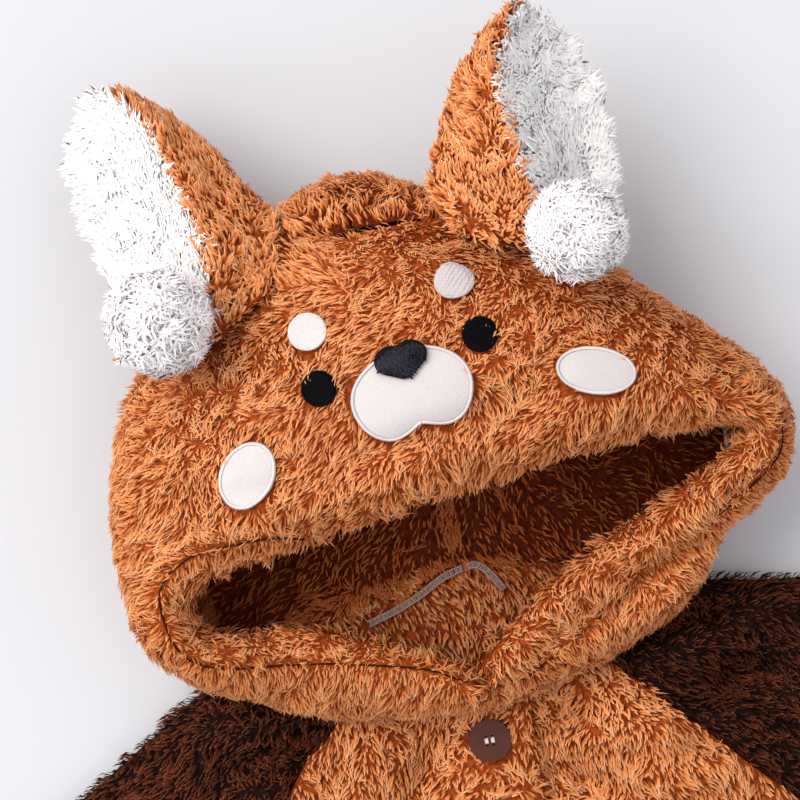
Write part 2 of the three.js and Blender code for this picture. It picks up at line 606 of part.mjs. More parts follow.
// Ears: a white inner leaf and a tan outer leaf, sewn along both edges.
// Rows run from the base to the tip: ridge is the edge by the hood's middle, margin the outer edge,
// back the tan side's bulge.
const EAR_COLUMNS = [
  "ridgeX", "ridgeY", "ridgeZ",
  "marginX", "marginY", "marginZ",
  "backX", "backY", "backZ",
];
const EARS = {
  right: table(EAR_COLUMNS, [
    [-73, 194, 104, -120, 200, 76, -42, 212, 98],
    [-63, 222, 104, -114, 232, 62, -23, 234, 78],
    [-62, 250, 98, -117, 262, 52, -34, 258, 66],
    [-66, 280, 88, -117, 292, 44, -47, 286, 58],
    [-71, 308, 74, -110, 318, 42, -62, 311, 52],
    [-86, 331, 58, -94, 333, 50, -84, 331, 52],
  ]),
  left: table(EAR_COLUMNS, [
    [96, 188, 106, 134, 190, 76, 64, 204, 97],
    [94, 214, 116, 139, 216, 78, 50, 230, 88],
    [93, 240, 118, 144, 240, 76, 61, 253, 84],
    [94, 266, 116, 142, 265, 78, 76, 274, 88],
    [101, 288, 112, 135, 288, 84, 91, 291, 92],
    [117, 305, 104, 123, 306, 98, 114, 305, 98],
  ]),
};
const EAR = { cloth: 3.5, tipCloth: 1.4, dip: 12, belly: 25, fold: 14, gap: 0.5, inset: 0.015 };
const EAR_ACROSS = [0, 0.08, 0.2, 0.36, 0.52, 0.68, 0.82, 0.93, 1];
const earCloth = (s) => lerp(EAR.cloth, EAR.tipCloth, s ** 3);
// A leaf is thinner at its sewn edges.
const leafCloth = (u, s) => earCloth(s) * Math.min(1, 0.25 + 3 * Math.min(u, 1 - u));

function earPoint(rows, s, name) {
  const at = (axis) => between(rows, name + axis, s);
  return new THREE.Vector3(at("X"), at("Y"), at("Z"));
}

function earOuter(rows, u, s) {
  const ridge = earPoint(rows, s, "ridge");
  const margin = earPoint(rows, s, "margin");
  const back = earPoint(rows, s, "back");
  const belly = mix(ridge, margin, 0.55);
  belly.z -= EAR.belly * (1 - s ** 3);
  const fold = mix(back, belly, 0.12);
  fold.z = back.z - EAR.fold * (1 - s ** 3);
  const points = [ridge, mix(ridge, back, 0.8), back, fold, belly, margin];
  const curve = new THREE.CatmullRomCurve3(points, false, "centripetal");
  return curve.getPoint(clamp01(u));
}

// The white leaf spans the tan leaf's inner edges and sinks between them.
function earInner(rows, side, u, s) {
  const step = 1e-3;
  const edge = (at) => {
    const along = earOuter(rows, at + step, s).sub(earOuter(rows, at - step, s));
    const up = earOuter(rows, at, Math.min(1, s + step)).sub(earOuter(rows, at, Math.max(0, s - step)));
    return earOuter(rows, at, s).addScaledVector(along.cross(up).normalize(), side * (earCloth(s) + EAR.gap));
  };
  const p = mix(edge(0), edge(1), lerp(EAR.inset, 1 - EAR.inset, u));
  return p.setZ(p.z - EAR.dip * Math.sin(Math.PI * u) * (1 - s ** 3));
}

// The largest body left of a piece where it is cut to lie on others.
function seatedOn(pieces, geometry) {
  let solid = solidOf(geometry);
  for (const piece of pieces)
    for (const lift of [0, SEAT_GAP]) solid = solid.subtract(solidOf(piece.geometry).translate([0, 0, lift]));
  const bodies = solid.decompose().sort((p, q) => q.volume() - p.volume());
  return geometryOf(bodies[0]);
}

for (const [name, rows] of Object.entries(EARS)) {
  const side = name === "right" ? -1 : 1;
  const outer = wall((u, s) => earOuter(rows, u, s), shares(11), shares(9), (u, s) => -side * earCloth(s));
  const innerThick = (u, s) => -side * leafCloth(u, s);
  const inner = wall((u, s) => earInner(rows, side, u, s), shares(11), EAR_ACROSS, innerThick);
  addPiece(hoodGroup, `ear_outer_${name}`, seatedOn(hoodPieces, outer), FUR.tan);
  addPiece(hoodGroup, `ear_inner_${name}`, seatedOn(hoodPieces, inner), FUR.white);
}

// Pompoms: a core with pointed locks of pile fused into it.
const POMPOMS = [
  { name: "pompom_right", x: -94.5, y: 211, z: 121.8, radius: 26.5, locks: 76 },
  { name: "pompom_left", x: 109.8, y: 190, z: 127.4, radius: 24, locks: 66 },
];
const LOCK = { coreShare: 0.66, rootShare: 0.11, sides: 3, sink: 0.25 };

function pompomGeometry(pompom) {
  let solid = solidOf(new THREE.IcosahedronGeometry(pompom.radius * LOCK.coreShare, 2));
  const golden = Math.PI * (3 - Math.sqrt(5));
  const high = pompom.radius * (1 - LOCK.coreShare + LOCK.sink);
  for (let i = 0; i < pompom.locks; i++) {
    const up = 1 - (2 * (i + 0.5)) / pompom.locks;
    const flat = Math.sqrt(1 - up * up);
    const outward = new THREE.Vector3(flat * Math.cos(golden * i), flat * Math.sin(golden * i), up);
    const lock = new THREE.ConeGeometry(pompom.radius * LOCK.rootShare, high, LOCK.sides);
    lock.applyQuaternion(new THREE.Quaternion().setFromUnitVectors(new THREE.Vector3(0, 1, 0), outward));
    const middle = outward.multiplyScalar(pompom.radius - high / 2);
    solid = solid.add(solidOf(lock.translate(middle.x, middle.y, middle.z)));
  }
  return geometryOf(solid);
}

for (const pompom of POMPOMS) {
  const mesh = addPiece(hoodGroup, pompom.name, pompomGeometry(pompom), FUR.white);
  mesh.position.set(pompom.x, pompom.y, pompom.z);
}

// Trousers: four panels and a gathered waistband.
const waistFoot = TROUSERS.waistY - TROUSERS.bandHigh;

// The two edges of a leg panel at a height: centre seam or inseam, and side seam.
const LEG_ROWS = [
  { y: waistFoot, inner: 0, outer: TROUSERS.waistHalf },
  { y: -870, inner: 0, outer: 232 },
  { y: TROUSERS.hipY, inner: 0, outer: TROUSERS.hipHalf },
  { y: LEG.crotchY, inner: 0, outer: 272 },
  { y: -1200, inner: 16, outer: 274 },
  { y: LEG.kneeY, inner: LEG.innerKnee, outer: LEG.outerKnee },
  { y: -1530, inner: 80, outer: 278 },
  { y: HEM.y, inner: HEM.inner, outer: HEM.outer },
];

function legPanel(side, isFront) {
  const plan = (u, v) => {
    const inner = between(LEG_ROWS, "inner", v) + SEAM_GAP;
    const outer = between(LEG_ROWS, "outer", v);
    return { x: side * lerp(inner, outer, u), y: between(LEG_ROWS, "y", v) - SEAM_GAP };
  };
  const over = (x, y) => LAYER_2 + CLOTH + LOFT + foldHeight(x, y);
  if (!isFront) return layer(plan, () => 0, () => CLOTH, shares(7), shares(4));
  return layer(plan, (x, y) => over(x, y) - CLOTH, over, shares(14), shares(8));
}

for (const [name, side] of [["right", -1], ["left", 1]]) {
  addPiece(group, `trouser_front_${name}`, legPanel(side, true), FUR.tan);
  addPiece(group, `trouser_back_${name}`, legPanel(side, false), FUR.tan);
}

// The waistband is one folded band with elastic in it, open at the top, so it stands a little fuller.
function waistband() {
  const halves = shares(30).map((u) => lerp(-1, 1, u));
  const ring = (y, thick) => {
    const half = TROUSERS.waistHalf - (thick ? CLOTH : 0);
    const wave = (x) => GATHERS.deep * (1 + Math.cos((x / TROUSERS.waistHalf) * Math.PI * GATHERS.count));
    const high = LAYER_2 + CLOTH + LOFT - (thick ? CLOTH : 0);
    const upper = halves.map((h) => new THREE.Vector3(h * half, y, high + wave(h * half)));
    const lower = halves.map((h) => new THREE.Vector3(h * half, y, thick ? CLOTH : 0));
    const edge = (h) => new THREE.Vector3(h * (half + 4), y, LAYER_2 + 2);
    return [edge(-1), ...upper, edge(1), ...lower.reverse()];
  };
  const heights = [TROUSERS.waistY, TROUSERS.waistY - TROUSERS.bandHigh / 2, waistFoot];
  return betweenGrids(heights.map((y) => ring(y, false)), heights.map((y) => ring(y, true)), true);
}

addPiece(group, "waistband", waistband(), FUR.tan);

// The part's origin is the middle of the floor it covers.
const covered = new THREE.Box3().setFromObject(group, true);
const middle = covered.getCenter(new THREE.Vector3());
group.position.set(-middle.x, -middle.y, -covered.min.z);

export default group;
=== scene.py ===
import math
import bmesh
import bpy
import numpy as np
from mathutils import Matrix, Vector
from mathutils.bvhtree import BVHTree


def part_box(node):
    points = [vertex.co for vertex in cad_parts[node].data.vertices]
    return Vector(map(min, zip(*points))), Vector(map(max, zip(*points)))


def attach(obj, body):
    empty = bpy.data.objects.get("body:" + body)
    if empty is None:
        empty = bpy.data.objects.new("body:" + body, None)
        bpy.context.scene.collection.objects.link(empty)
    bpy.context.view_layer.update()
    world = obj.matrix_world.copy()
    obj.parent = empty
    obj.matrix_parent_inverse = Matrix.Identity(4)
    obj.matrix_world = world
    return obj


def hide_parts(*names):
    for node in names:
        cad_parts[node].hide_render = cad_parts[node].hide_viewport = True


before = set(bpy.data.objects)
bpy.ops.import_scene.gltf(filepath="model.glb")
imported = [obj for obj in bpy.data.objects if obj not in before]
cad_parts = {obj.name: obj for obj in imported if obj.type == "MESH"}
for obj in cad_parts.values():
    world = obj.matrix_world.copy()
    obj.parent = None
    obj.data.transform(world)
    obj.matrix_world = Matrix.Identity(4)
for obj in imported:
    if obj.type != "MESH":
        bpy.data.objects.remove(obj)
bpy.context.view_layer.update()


# Camera, floor and light. The camera hangs over the hood and looks straight down,
# turned 10 degrees, so that the top lies aslant in the picture as it does in the photograph.
AIM = Vector((-0.028, 0.829, 0.060))
CAMERA_HEIGHT = 1.6
FRAME_WIDTH = 0.4
PICTURE_TURN = math.radians(10)
camera = bpy.data.objects.new("camera", bpy.data.cameras.new("camera"))
camera.data.sensor_width = 36
camera.data.lens = 36 * CAMERA_HEIGHT / FRAME_WIDTH
camera.location = AIM + Vector((0, 0, CAMERA_HEIGHT))
camera.rotation_euler = (0, 0, -PICTURE_TURN)
bpy.context.scene.collection.objects.link(camera)
bpy.context.scene.camera = camera
bpy.context.scene.view_settings.view_transform = "Standard"

floor_shape = bmesh.new()
bmesh.ops.create_grid(floor_shape, x_segments=1, y_segments=1, size=6)
bmesh.ops.translate(floor_shape, verts=floor_shape.verts, vec=(0, 0, -0.0004))
floor_mesh = bpy.data.meshes.new("floor")
floor_shape.to_mesh(floor_mesh)
floor = bpy.data.objects.new("floor", floor_mesh)
bpy.context.scene.collection.objects.link(floor)


def linear(red, green, blue):
    def one(level):
        level = level / 255
        return level / 12.92 if level <= 0.04045 else ((level + 0.055) / 1.055) ** 2.4
    return (one(red), one(green), one(blue), 1)


def new_material(name, roughness):
    material = bpy.data.materials.new(name)
    material.use_nodes = True
    shader = material.node_tree.nodes["Principled BSDF"]
    shader.inputs["Roughness"].default_value = roughness
    return material, material.node_tree, shader


floor_paper, nodes, shader = new_material("floor_paper", 0.8)
paper_noise = nodes.nodes.new("ShaderNodeTexNoise")
paper_noise.inputs["Scale"].default_value = 1.5
paper_place = nodes.nodes.new("ShaderNodeTexCoord")
paper_tint = nodes.nodes.new("ShaderNodeValToRGB")
paper_tint.color_ramp.elements[0].color = linear(198, 198, 201)
paper_tint.color_ramp.elements[1].color = linear(203, 203, 206)
nodes.links.new(paper_place.outputs["Object"], paper_noise.inputs["Vector"])
nodes.links.new(paper_noise.outputs["Fac"], paper_tint.inputs["Fac"])
nodes.links.new(paper_tint.outputs["Color"], shader.inputs["Base Color"])
floor_mesh.materials.append(floor_paper)

world = bpy.data.worlds.new("studio")
world.use_nodes = True
world.node_tree.nodes["Background"].inputs["Color"].default_value = (0.95, 0.955, 1.0, 1)
world.node_tree.nodes["Background"].inputs["Strength"].default_value = 0.91
bpy.context.scene.world = world

window = bpy.data.lights.new("window", "SUN")
window.energy = 2.4
window.angle = math.radians(44)
window.color = (1.0, 0.985, 0.96)
window_light = bpy.data.objects.new("window", window)
window_light.rotation_euler = Vector((-0.66, 0.58, 1.0)).to_track_quat("Z", "Y").to_euler()
bpy.context.scene.collection.objects.link(window_light)

softbox = bpy.data.lights.new("softbox", "AREA")
softbox.energy = 4.0
softbox.size = 0.9
softbox_light = bpy.data.objects.new("softbox", softbox)
softbox_light.location = (-1.1, 0.9, 1.0)
softbox_light.rotation_euler = Vector((-0.85, 0.1, 0.9)).to_track_quat("Z", "Y").to_euler()
bpy.context.scene.collection.objects.link(softbox_light)


# Hood: three panels of long plush, the front one rolled round the face opening.
# The knitted backing carries the garment's form, and the pile stands on it in combed locks,
# parted along the topstitch that runs round the opening.
HOOD_MIDDLE = np.array([-0.013, 0.803, 0.0])
HOOD_BACKING_SINK = 0.0021
# Below this height the back panels carry the darker copy of the pile, painted shade inside the hood.
INNER_SHADE_HEIGHT = 0.035
HOOD_LOCK = {"long": 0.0070, "wide": 0.0011, "stand": 0.0040}
# Pile colours run from root to tip: the plush's own colour in the middle, painted shade toward the root and
# a painted highlight toward the tip.
TAN_PILE = [(0.0, (116, 46, 12)), (0.34, (180, 88, 36)), (0.74, (216, 135, 78)), (1.0, (243, 197, 152))]
# The inside pile is a darker copy of the tan pile: painted shade inside the hood, on the same cloth.
INNER_SHADE_PILE = [(0.0, (46, 10, 0)), (0.36, (138, 54, 12)), (0.76, (186, 96, 40)), (1.0, (212, 142, 84))]
TAN_BACKING = (142, 62, 22)
# The inside backing is a darker copy of the tan backing: painted shade inside the hood.
INNER_SHADE_BACKING = (92, 34, 9)
dice = np.random.default_rng(11)
LATTICE = dice.uniform(-1, 1, (4096, 3))


def wander(at, size, seed):
    """A smooth random vector at each point, which changes over the given size."""
    cell = np.floor(at / size).astype(np.int64)
    part = at / size - cell
    part = part * part * (3 - 2 * part)
    total = np.zeros_like(at)
    for corner in np.ndindex(2, 2, 2):
        c = cell + np.array(corner)
        slot = (c[:, 0] * 7385609 ^ c[:, 1] * 1934966 ^ c[:, 2] * 8349279 ^ seed * 2654435) % 4096
        share = np.prod(np.where(np.array(corner) == 1, part, 1 - part), axis=1)
        total += LATTICE[slot] * share[:, None]
    return total


def tufts(at, size=0.0075):
    """How high the pile's tufts stand at each point, about -1 to 1, and the way up to the nearest."""
    level = wander(at, size, 3)[:, 0]
    steps = np.eye(3) * size * 0.2
    way = np.stack([wander(at + step, size, 3)[:, 0] - level for step in steps], axis=1) / 0.2
    return level, way


def ramp_material(name, stops, roughness, spread=0.22, gloss=0.12):
    """Pile: the plush's own colour with painted shade toward the root and a painted highlight toward the
    tip, each lock a little darker or lighter.
    """
    material, tree, shader = new_material(name, roughness)
    lock = tree.nodes.new("ShaderNodeUVMap")
    lock.uv_map = "lock"
    parts = tree.nodes.new("ShaderNodeSeparateXYZ")
    tree.links.new(lock.outputs["UV"], parts.inputs["Vector"])
    ramp = tree.nodes.new("ShaderNodeValToRGB")
    ramp.color_ramp.elements[0].position = stops[0][0]
    ramp.color_ramp.elements[0].color = linear(*stops[0][1])
    ramp.color_ramp.elements[1].position = stops[-1][0]
    ramp.color_ramp.elements[1].color = linear(*stops[-1][1])
    for place, tint in stops[1:-1]:
        ramp.color_ramp.elements.new(place).color = linear(*tint)
    tree.links.new(parts.outputs["Y"], ramp.inputs["Fac"])
    place = tree.nodes.new("ShaderNodeTexCoord")
    patch = tree.nodes.new("ShaderNodeTexNoise")
    patch.inputs["Scale"].default_value = 45
    tree.links.new(place.outputs["Object"], patch.inputs["Vector"])
    both = tree.nodes.new("ShaderNodeMath")
    both.operation = "MULTIPLY_ADD"
    tree.links.new(parts.outputs["X"], both.inputs[0])
    both.inputs[1].default_value = 0.7
    tree.links.new(patch.outputs["Fac"], both.inputs[2])
    level = tree.nodes.new("ShaderNodeMapRange")
    level.inputs["From Min"].default_value = 0.3
    level.inputs["From Max"].default_value = 1.4
    level.inputs["To Min"].default_value = 1 - spread
    level.inputs["To Max"].default_value = 1 + spread
    tree.links.new(both.outputs["Value"], level.inputs["Value"])
    shade = tree.nodes.new("ShaderNodeVectorMath")
    shade.operation = "SCALE"
    tree.links.new(ramp.outputs["Color"], shade.inputs[0])
    tree.links.new(level.outputs["Result"], shade.inputs["Scale"])
    tree.links.new(shade.outputs["Vector"], shader.inputs["Base Color"])
    shader.inputs["Specular IOR Level"].default_value = gloss
    return material


def backing_material(name, tint):
    """Knitted backing seen between the locks: fine loops in relief and an uneven shade."""
    material, tree, shader = new_material(name, 0.9)
    shader.inputs["Specular IOR Level"].default_value = 0.1
    place = tree.nodes.new("ShaderNodeTexCoord")
    loops = tree.nodes.new("ShaderNodeTexNoise")
    loops.inputs["Scale"].default_value = 420
    loops.inputs["Detail"].default_value = 3
    tree.links.new(place.outputs["Object"], loops.inputs["Vector"])
    ramp = tree.nodes.new("ShaderNodeValToRGB")
    ramp.color_ramp.elements[0].position = 0.3
    ramp.color_ramp.elements[0].color = linear(*[level * 0.7 for level in tint])
    ramp.color_ramp.elements[1].position = 0.7
    ramp.color_ramp.elements[1].color = linear(*[min(255, level * 1.25) for level in tint])
    tree.links.new(loops.outputs["Fac"], ramp.inputs["Fac"])
    tree.links.new(ramp.outputs["Color"], shader.inputs["Base Color"])
    relief = tree.nodes.new("ShaderNodeBump")
    relief.inputs["Distance"].default_value = 0.0015
    relief.inputs["Strength"].default_value = 0.8
    tree.links.new(loops.outputs["Fac"], relief.inputs["Height"])
    tree.links.new(relief.outputs["Normal"], shader.inputs["Normal"])
    return material


# Main creases. Seen ones are paths in the picture, laid ones are lines on the floor plan in metres. Each
# has its height (less than 0 for a trough) and half-width in metres.
SEEN_FOLDS = [
    ([(258, 270), (300, 243), (345, 231), (400, 230), (440, 240), (478, 262),
      (524, 286)], -0.0060, 0.0075),
    ([(285, 285), (330, 262), (390, 254), (440, 266), (484, 290)], 0.0047, 0.0121),
    ([(384, 190), (383, 226)], -0.0034, 0.0060),
    ([(196, 503), (289, 490), (350, 464), (420, 441), (498, 413), (570, 392)], -0.0049, 0.0083),
    ([(189, 525), (279, 507), (355, 486), (432, 460), (498, 438)], 0.0035, 0.0088),
    ([(337, 552), (336, 578), (344, 600)], -0.0038, 0.0066),
    ([(306, 560), (314, 590)], 0.0087, 0.0110),
    ([(597, 634), (616, 606), (670, 566), (693, 549), (728, 522)], -0.0075, 0.0060),
    ([(509, 639), (569, 586), (647, 538)], 0.0038, 0.0110),
    ([(624, 612), (680, 585), (711, 568)], 0.0041, 0.0088),
    ([(466, 664), (495, 679), (522, 692)], -0.0080, 0.0050),
    ([(610, 664), (715, 632), (798, 588)], 0.0109, 0.0121),
    ([(614, 650), (670, 626), (715, 604), (770, 596)], -0.0065, 0.0088),
    ([(676, 712), (738, 682), (806, 664)], -0.0101, 0.0094),
    ([(700, 726), (806, 690)], 0.0072, 0.0132),
    ([(566, 737), (647, 721), (706, 725)], 0.0080, 0.0110),
    ([(541, 706), (575, 713), (624, 708)], -0.0075, 0.0072),
    ([(600, 760), (692, 774), (780, 790)], 0.0065, 0.0121),
    ([(554, 748), (587, 782), (620, 812)], -0.0094, 0.0088),
    ([(532, 712), (540, 745), (554, 812)], -0.0065, 0.0046),
    ([(352, 732), (341, 762), (320, 812)], -0.0043, 0.0055),
    ([(402, 716), (374, 760), (350, 812)], 0.0065, 0.0132),
    ([(452, 716), (427, 760), (412, 812)], -0.0080, 0.0094),
    ([(200, 783), (245, 770), (287, 762), (336, 736)], -0.0094, 0.0088),
    ([(214, 796), (310, 776)], 0.0072, 0.0105),
    ([(186, 738), (260, 724), (322, 730)], 0.0061, 0.0110),
]
LAID_FOLDS = [
    (0.060, 0.480, 0.170, 0.330, 0.0084, 0.016), (-0.090, 0.520, -0.200, 0.380, 0.0077, 0.015),
    (0.110, 0.430, 0.215, 0.300, -0.0056, 0.012), (-0.060, 0.400, -0.150, 0.250, -0.0063, 0.013),
    (0.220, 0.240, 0.080, 0.110, 0.0070, 0.018), (-0.240, 0.210, -0.110, 0.070, 0.0077, 0.016),
    (0.035, 0.220, 0.060, 0.040, -0.0056, 0.012), (-0.060, 0.180, -0.045, 0.030, 0.0056, 0.013),
    (0.300, 0.540, 0.420, 0.400, 0.0077, 0.014), (0.360, 0.580, 0.500, 0.470, -0.0063, 0.012),
    (0.560, 0.500, 0.600, 0.350, 0.0070, 0.014), (0.620, 0.460, 0.645, 0.320, -0.0056, 0.011),
    (-0.330, 0.560, -0.420, 0.390, 0.0077, 0.014), (-0.400, 0.520, -0.500, 0.380, -0.0063, 0.012),
    (-0.560, 0.430, -0.540, 0.280, 0.0070, 0.013), (-0.620, 0.390, -0.600, 0.250, -0.0056, 0.011),
    (0.030, -0.300, 0.180, -0.420, 0.0084, 0.018), (-0.050, -0.290, -0.210, -0.400, 0.0084, 0.017),
    (0.040, -0.350, 0.140, -0.500, -0.0063, 0.014), (-0.060, -0.350, -0.150, -0.480, -0.0063, 0.014),
    (0.240, -0.600, 0.110, -0.680, 0.0077, 0.017), (0.250, -0.660, 0.120, -0.740, -0.0063, 0.014),
    (-0.270, -0.610, -0.130, -0.700, 0.0077, 0.017), (-0.130, -0.640, -0.260, -0.760, -0.0063, 0.014),
    (0.130, -0.830, 0.200, -0.960, 0.0063, 0.015), (-0.220, -0.820, -0.170, -0.970, 0.0063, 0.015),
    (0.080, -0.110, 0.120, -0.230, 0.0063, 0.012), (-0.040, -0.110, -0.070, -0.250, 0.0063, 0.012),
    (-0.150, -0.110, -0.170, -0.210, -0.0049, 0.011), (0.020, -0.110, 0.030, -0.200, -0.0049, 0.010),
]


def whole_tree():
    points, faces = [], []
    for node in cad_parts.values():
        first = len(points)
        points.extend(v.co.copy() for v in node.data.vertices)
        node.data.calc_loop_triangles()
        faces.extend([first + i for i in t.vertices] for t in node.data.loop_triangles)
    return BVHTree.FromPolygons(points, faces)


GARMENT = whole_tree()


def seen_hit(px, py):
    """Where a point of the picture lies on the garment, straight under it, and the way out there."""
    reach = FRAME_WIDTH / 800
    right = Vector((math.cos(PICTURE_TURN), -math.sin(PICTURE_TURN), 0))
    top = Vector((math.sin(PICTURE_TURN), math.cos(PICTURE_TURN), 0))
    aim = AIM + (right * (px - 400) + top * (400 - py)) * reach
    return GARMENT.ray_cast(camera.location, (aim - camera.location).normalized(), 3)[:2]


def seen_point(px, py):
    return seen_hit(px, py)[0]


def smooth_path(points, gap):
    """A row of evenly spaced points along a smooth line through the given ones."""
    spots = np.array(points, dtype=float)
    run = np.concatenate([[0], np.cumsum(np.linalg.norm(np.diff(spots, axis=0), axis=1))])
    many = max(3, int(run[-1] / gap))
    place = np.linspace(0, run[-1], many)
    line = np.stack([np.interp(place, run, spots[:, k]) for k in range(spots.shape[1])], axis=1)
    for _ in range(6):
        line[1:-1] = (line[:-2] + 2 * line[1:-1] + line[2:]) / 4
    return line


def fold_line(hits, high, wide):
    """A fold as points with the way out of the cloth there, fading and swelling along its length."""
    hits = [hit for hit in hits if hit[0]]
    share = np.linspace(0, 1, len(hits))
    fade = np.minimum(1, np.minimum(share, 1 - share) / 0.28)
    swell = 1 + 0.22 * np.sin(share * 7 + 90 * wide * len(hits))
    way = np.array([hit[1][:] for hit in hits])
    way[:, 2] = np.maximum(way[:, 2], 0.3)
    for _ in range(3):
        way[1:-1] = (way[:-2] + way[1:-1] + way[2:]) / 3
    way /= np.linalg.norm(way, axis=1)[:, None]
    return np.array([hit[0][:] for hit in hits]), way, high * fade * fade * (3 - 2 * fade) * swell, wide


folds = [fold_line([seen_hit(px, py) for px, py in smooth_path(path, 4)], high, wide)
         for path, high, wide in SEEN_FOLDS]
folds += [fold_line([GARMENT.ray_cast(Vector((x, y, 0.4)), Vector((0, 0, -1)), 1)[:2]
                     for x, y in smooth_path([(x0, y0), (x1, y1)], 0.006)], high, wide)
          for x0, y0, x1, y1, high, wide in LAID_FOLDS]


def folded(at):
    """The points of a cloth, or of what is sewn on it, raised on the ridges and sunk in the troughs."""
    moved = at.copy()
    for line, way, high, wide in folds:
        near = np.nonzero(((at > line.min(axis=0) - 3 * wide) &
                           (at < line.max(axis=0) + 3 * wide)).all(axis=1))[0]
        if not len(near):
            continue
        gap = np.linalg.norm(at[near, None, :] - line[None, :, :], axis=2)
        nearest = gap.argmin(axis=1)
        part = np.exp(-(gap.min(axis=1) / wide) ** 2)
        moved[near] += way[nearest] * (high[nearest] * part)[:, None]
    moved[:, 2] = np.maximum(moved[:, 2], np.minimum(at[:, 2], 0.0004))
    return moved


def fold_cloth(mesh):
    """Folds a cloth and keeps the places that its points had on the solid."""
    at = np.empty(len(mesh.vertices) * 3)
    mesh.vertices.foreach_get("co", at)
    mesh.attributes.new("laid", "FLOAT_VECTOR", "POINT").data.foreach_set("vector", at)
    mesh.vertices.foreach_set("co", folded(at.reshape(-1, 3)).ravel())
    mesh.update()


def cloth_from(node, name, sink, material, steps=1, firm=0.8):
    """The backing of one panel: a rounded, thinner copy of its solid, in the same place."""
    shape = bmesh.new()
    shape.from_mesh(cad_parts[node].data)
    bmesh.ops.remove_doubles(shape, verts=shape.verts, dist=1e-5)
    shape.normal_update()
    tree = BVHTree.FromBMesh(shape)
    bmesh.ops.join_triangles(
        shape, faces=shape.faces, angle_face_threshold=0.7, angle_shape_threshold=0.9)
    crease = shape.edges.layers.float.new("crease_edge")
    moved = []
    sharp = {edge for edge in shape.edges
             if len(edge.link_faces) == 2 and edge.calc_face_angle(0) > 0.9}
    for edge in sharp:
        edge[crease] = firm
    walls = {face for face in shape.faces if sum(edge in sharp for edge in face.edges) < 2}
    for vert in shape.verts:
        if any(edge in sharp for edge in vert.link_edges):
            flat = Vector()
            for face in vert.link_faces:
                if face in walls:
                    flat += face.normal
            if flat.length > 0.1:
                flat.normalize()
                through = tree.ray_cast(vert.co - flat * 0.0002, -flat, 0.02)[3]
                moved.append(vert.co - flat * min(sink, 0.36 * (through or 0.005)))
            else:
                moved.append(vert.co.copy())
            continue
        through = tree.ray_cast(vert.co - vert.normal * 0.0002, -vert.normal, 0.02)[3]
        depth = min(sink, 0.36 * through) if through else sink
        moved.append(vert.co - vert.normal * depth)
    for vert, place in zip(shape.verts, moved):
        vert.co = place
    for face in shape.faces:
        face.smooth = True
    mesh = bpy.data.meshes.new(name)
    shape.to_mesh(mesh)
    shape.free()
    piece = bpy.data.objects.new(name, mesh)
    bpy.context.scene.collection.objects.link(piece)
    if steps:
        rounding = piece.modifiers.new("rounding", "SUBSURF")
        rounding.levels = rounding.render_levels = steps
        made = bpy.data.meshes.new_from_object(
            piece.evaluated_get(bpy.context.evaluated_depsgraph_get()))
        piece.modifiers.clear()
        piece.data = made
    fold_cloth(piece.data)
    piece.data.name = name
    piece.data.materials.clear()
    piece.data.materials.append(material)
    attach(piece, "root")
    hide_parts(node)
    return piece


SKY = [Vector((math.cos(turn) * math.cos(rise), math.sin(turn) * math.cos(rise), math.sin(rise)))
       for rise, many in ((0.12, 10), (0.55, 9), (1.05, 6), (1.57, 1))
       for turn in (2 * math.pi * (k + 0.5 * rise) / many for k in range(many))]


def lift_off(spot, way):
    """A point just over the garment, straight above a point of the backing that lies under it."""
    hit, normal = GARMENT.ray_cast(spot, way, 0.008)[:2]
    if hit and normal.dot(way) < 0:
        hit = GARMENT.ray_cast(hit + way * 0.0001, way, 0.008)[0]
    return (hit or spot + way * 0.0021) + way * 0.0019


def surface_of(mesh):
    """Triangles of a mesh as arrays: corner points, corner normals, areas, and how open each is."""
    mesh.calc_loop_triangles()
    at = np.empty(len(mesh.vertices) * 3)
    mesh.vertices.foreach_get("co", at)
    at = at.reshape(-1, 3)
    out = np.empty(len(mesh.vertices) * 3)
    mesh.vertices.foreach_get("normal", out)
    out = out.reshape(-1, 3)
    corners = np.empty(len(mesh.loop_triangles) * 3, dtype=np.int32)
    mesh.loop_triangles.foreach_get("vertices", corners)
    corners = corners.reshape(-1, 3)
    a, b, c = at[corners[:, 0]], at[corners[:, 1]], at[corners[:, 2]]
    across = np.cross(b - a, c - a)
    area = np.linalg.norm(across, axis=1) / 2
    facing = across / np.maximum(2 * area, 1e-12)[:, None]
    laid = at.copy()
    if "laid" in mesh.attributes:
        flat = np.empty(len(mesh.vertices) * 3)
        mesh.attributes["laid"].data.foreach_get("vector", flat)
        laid = flat.reshape(-1, 3)
    middle = laid[corners].mean(axis=1)
    opened = np.zeros(len(corners))
    for i in range(len(corners)):
        face = Vector(facing[i])
        start = lift_off(Vector(middle[i]), face)
        clear = tried = 0
        for way in SKY:
            if way.dot(face) > 0.1:
                tried += 1
                clear += GARMENT.ray_cast(start, way, 2.5)[0] is None
        opened[i] = clear / tried if tried else 0
        if middle[i][2] < 0.0035 and facing[i][2] < -0.3:
            opened[i] = 0
    return at[corners], out[corners], area, opened


PRESSED = np.array([0.0004, 0.0004, 0.0010, 0.0006, 0.0003])


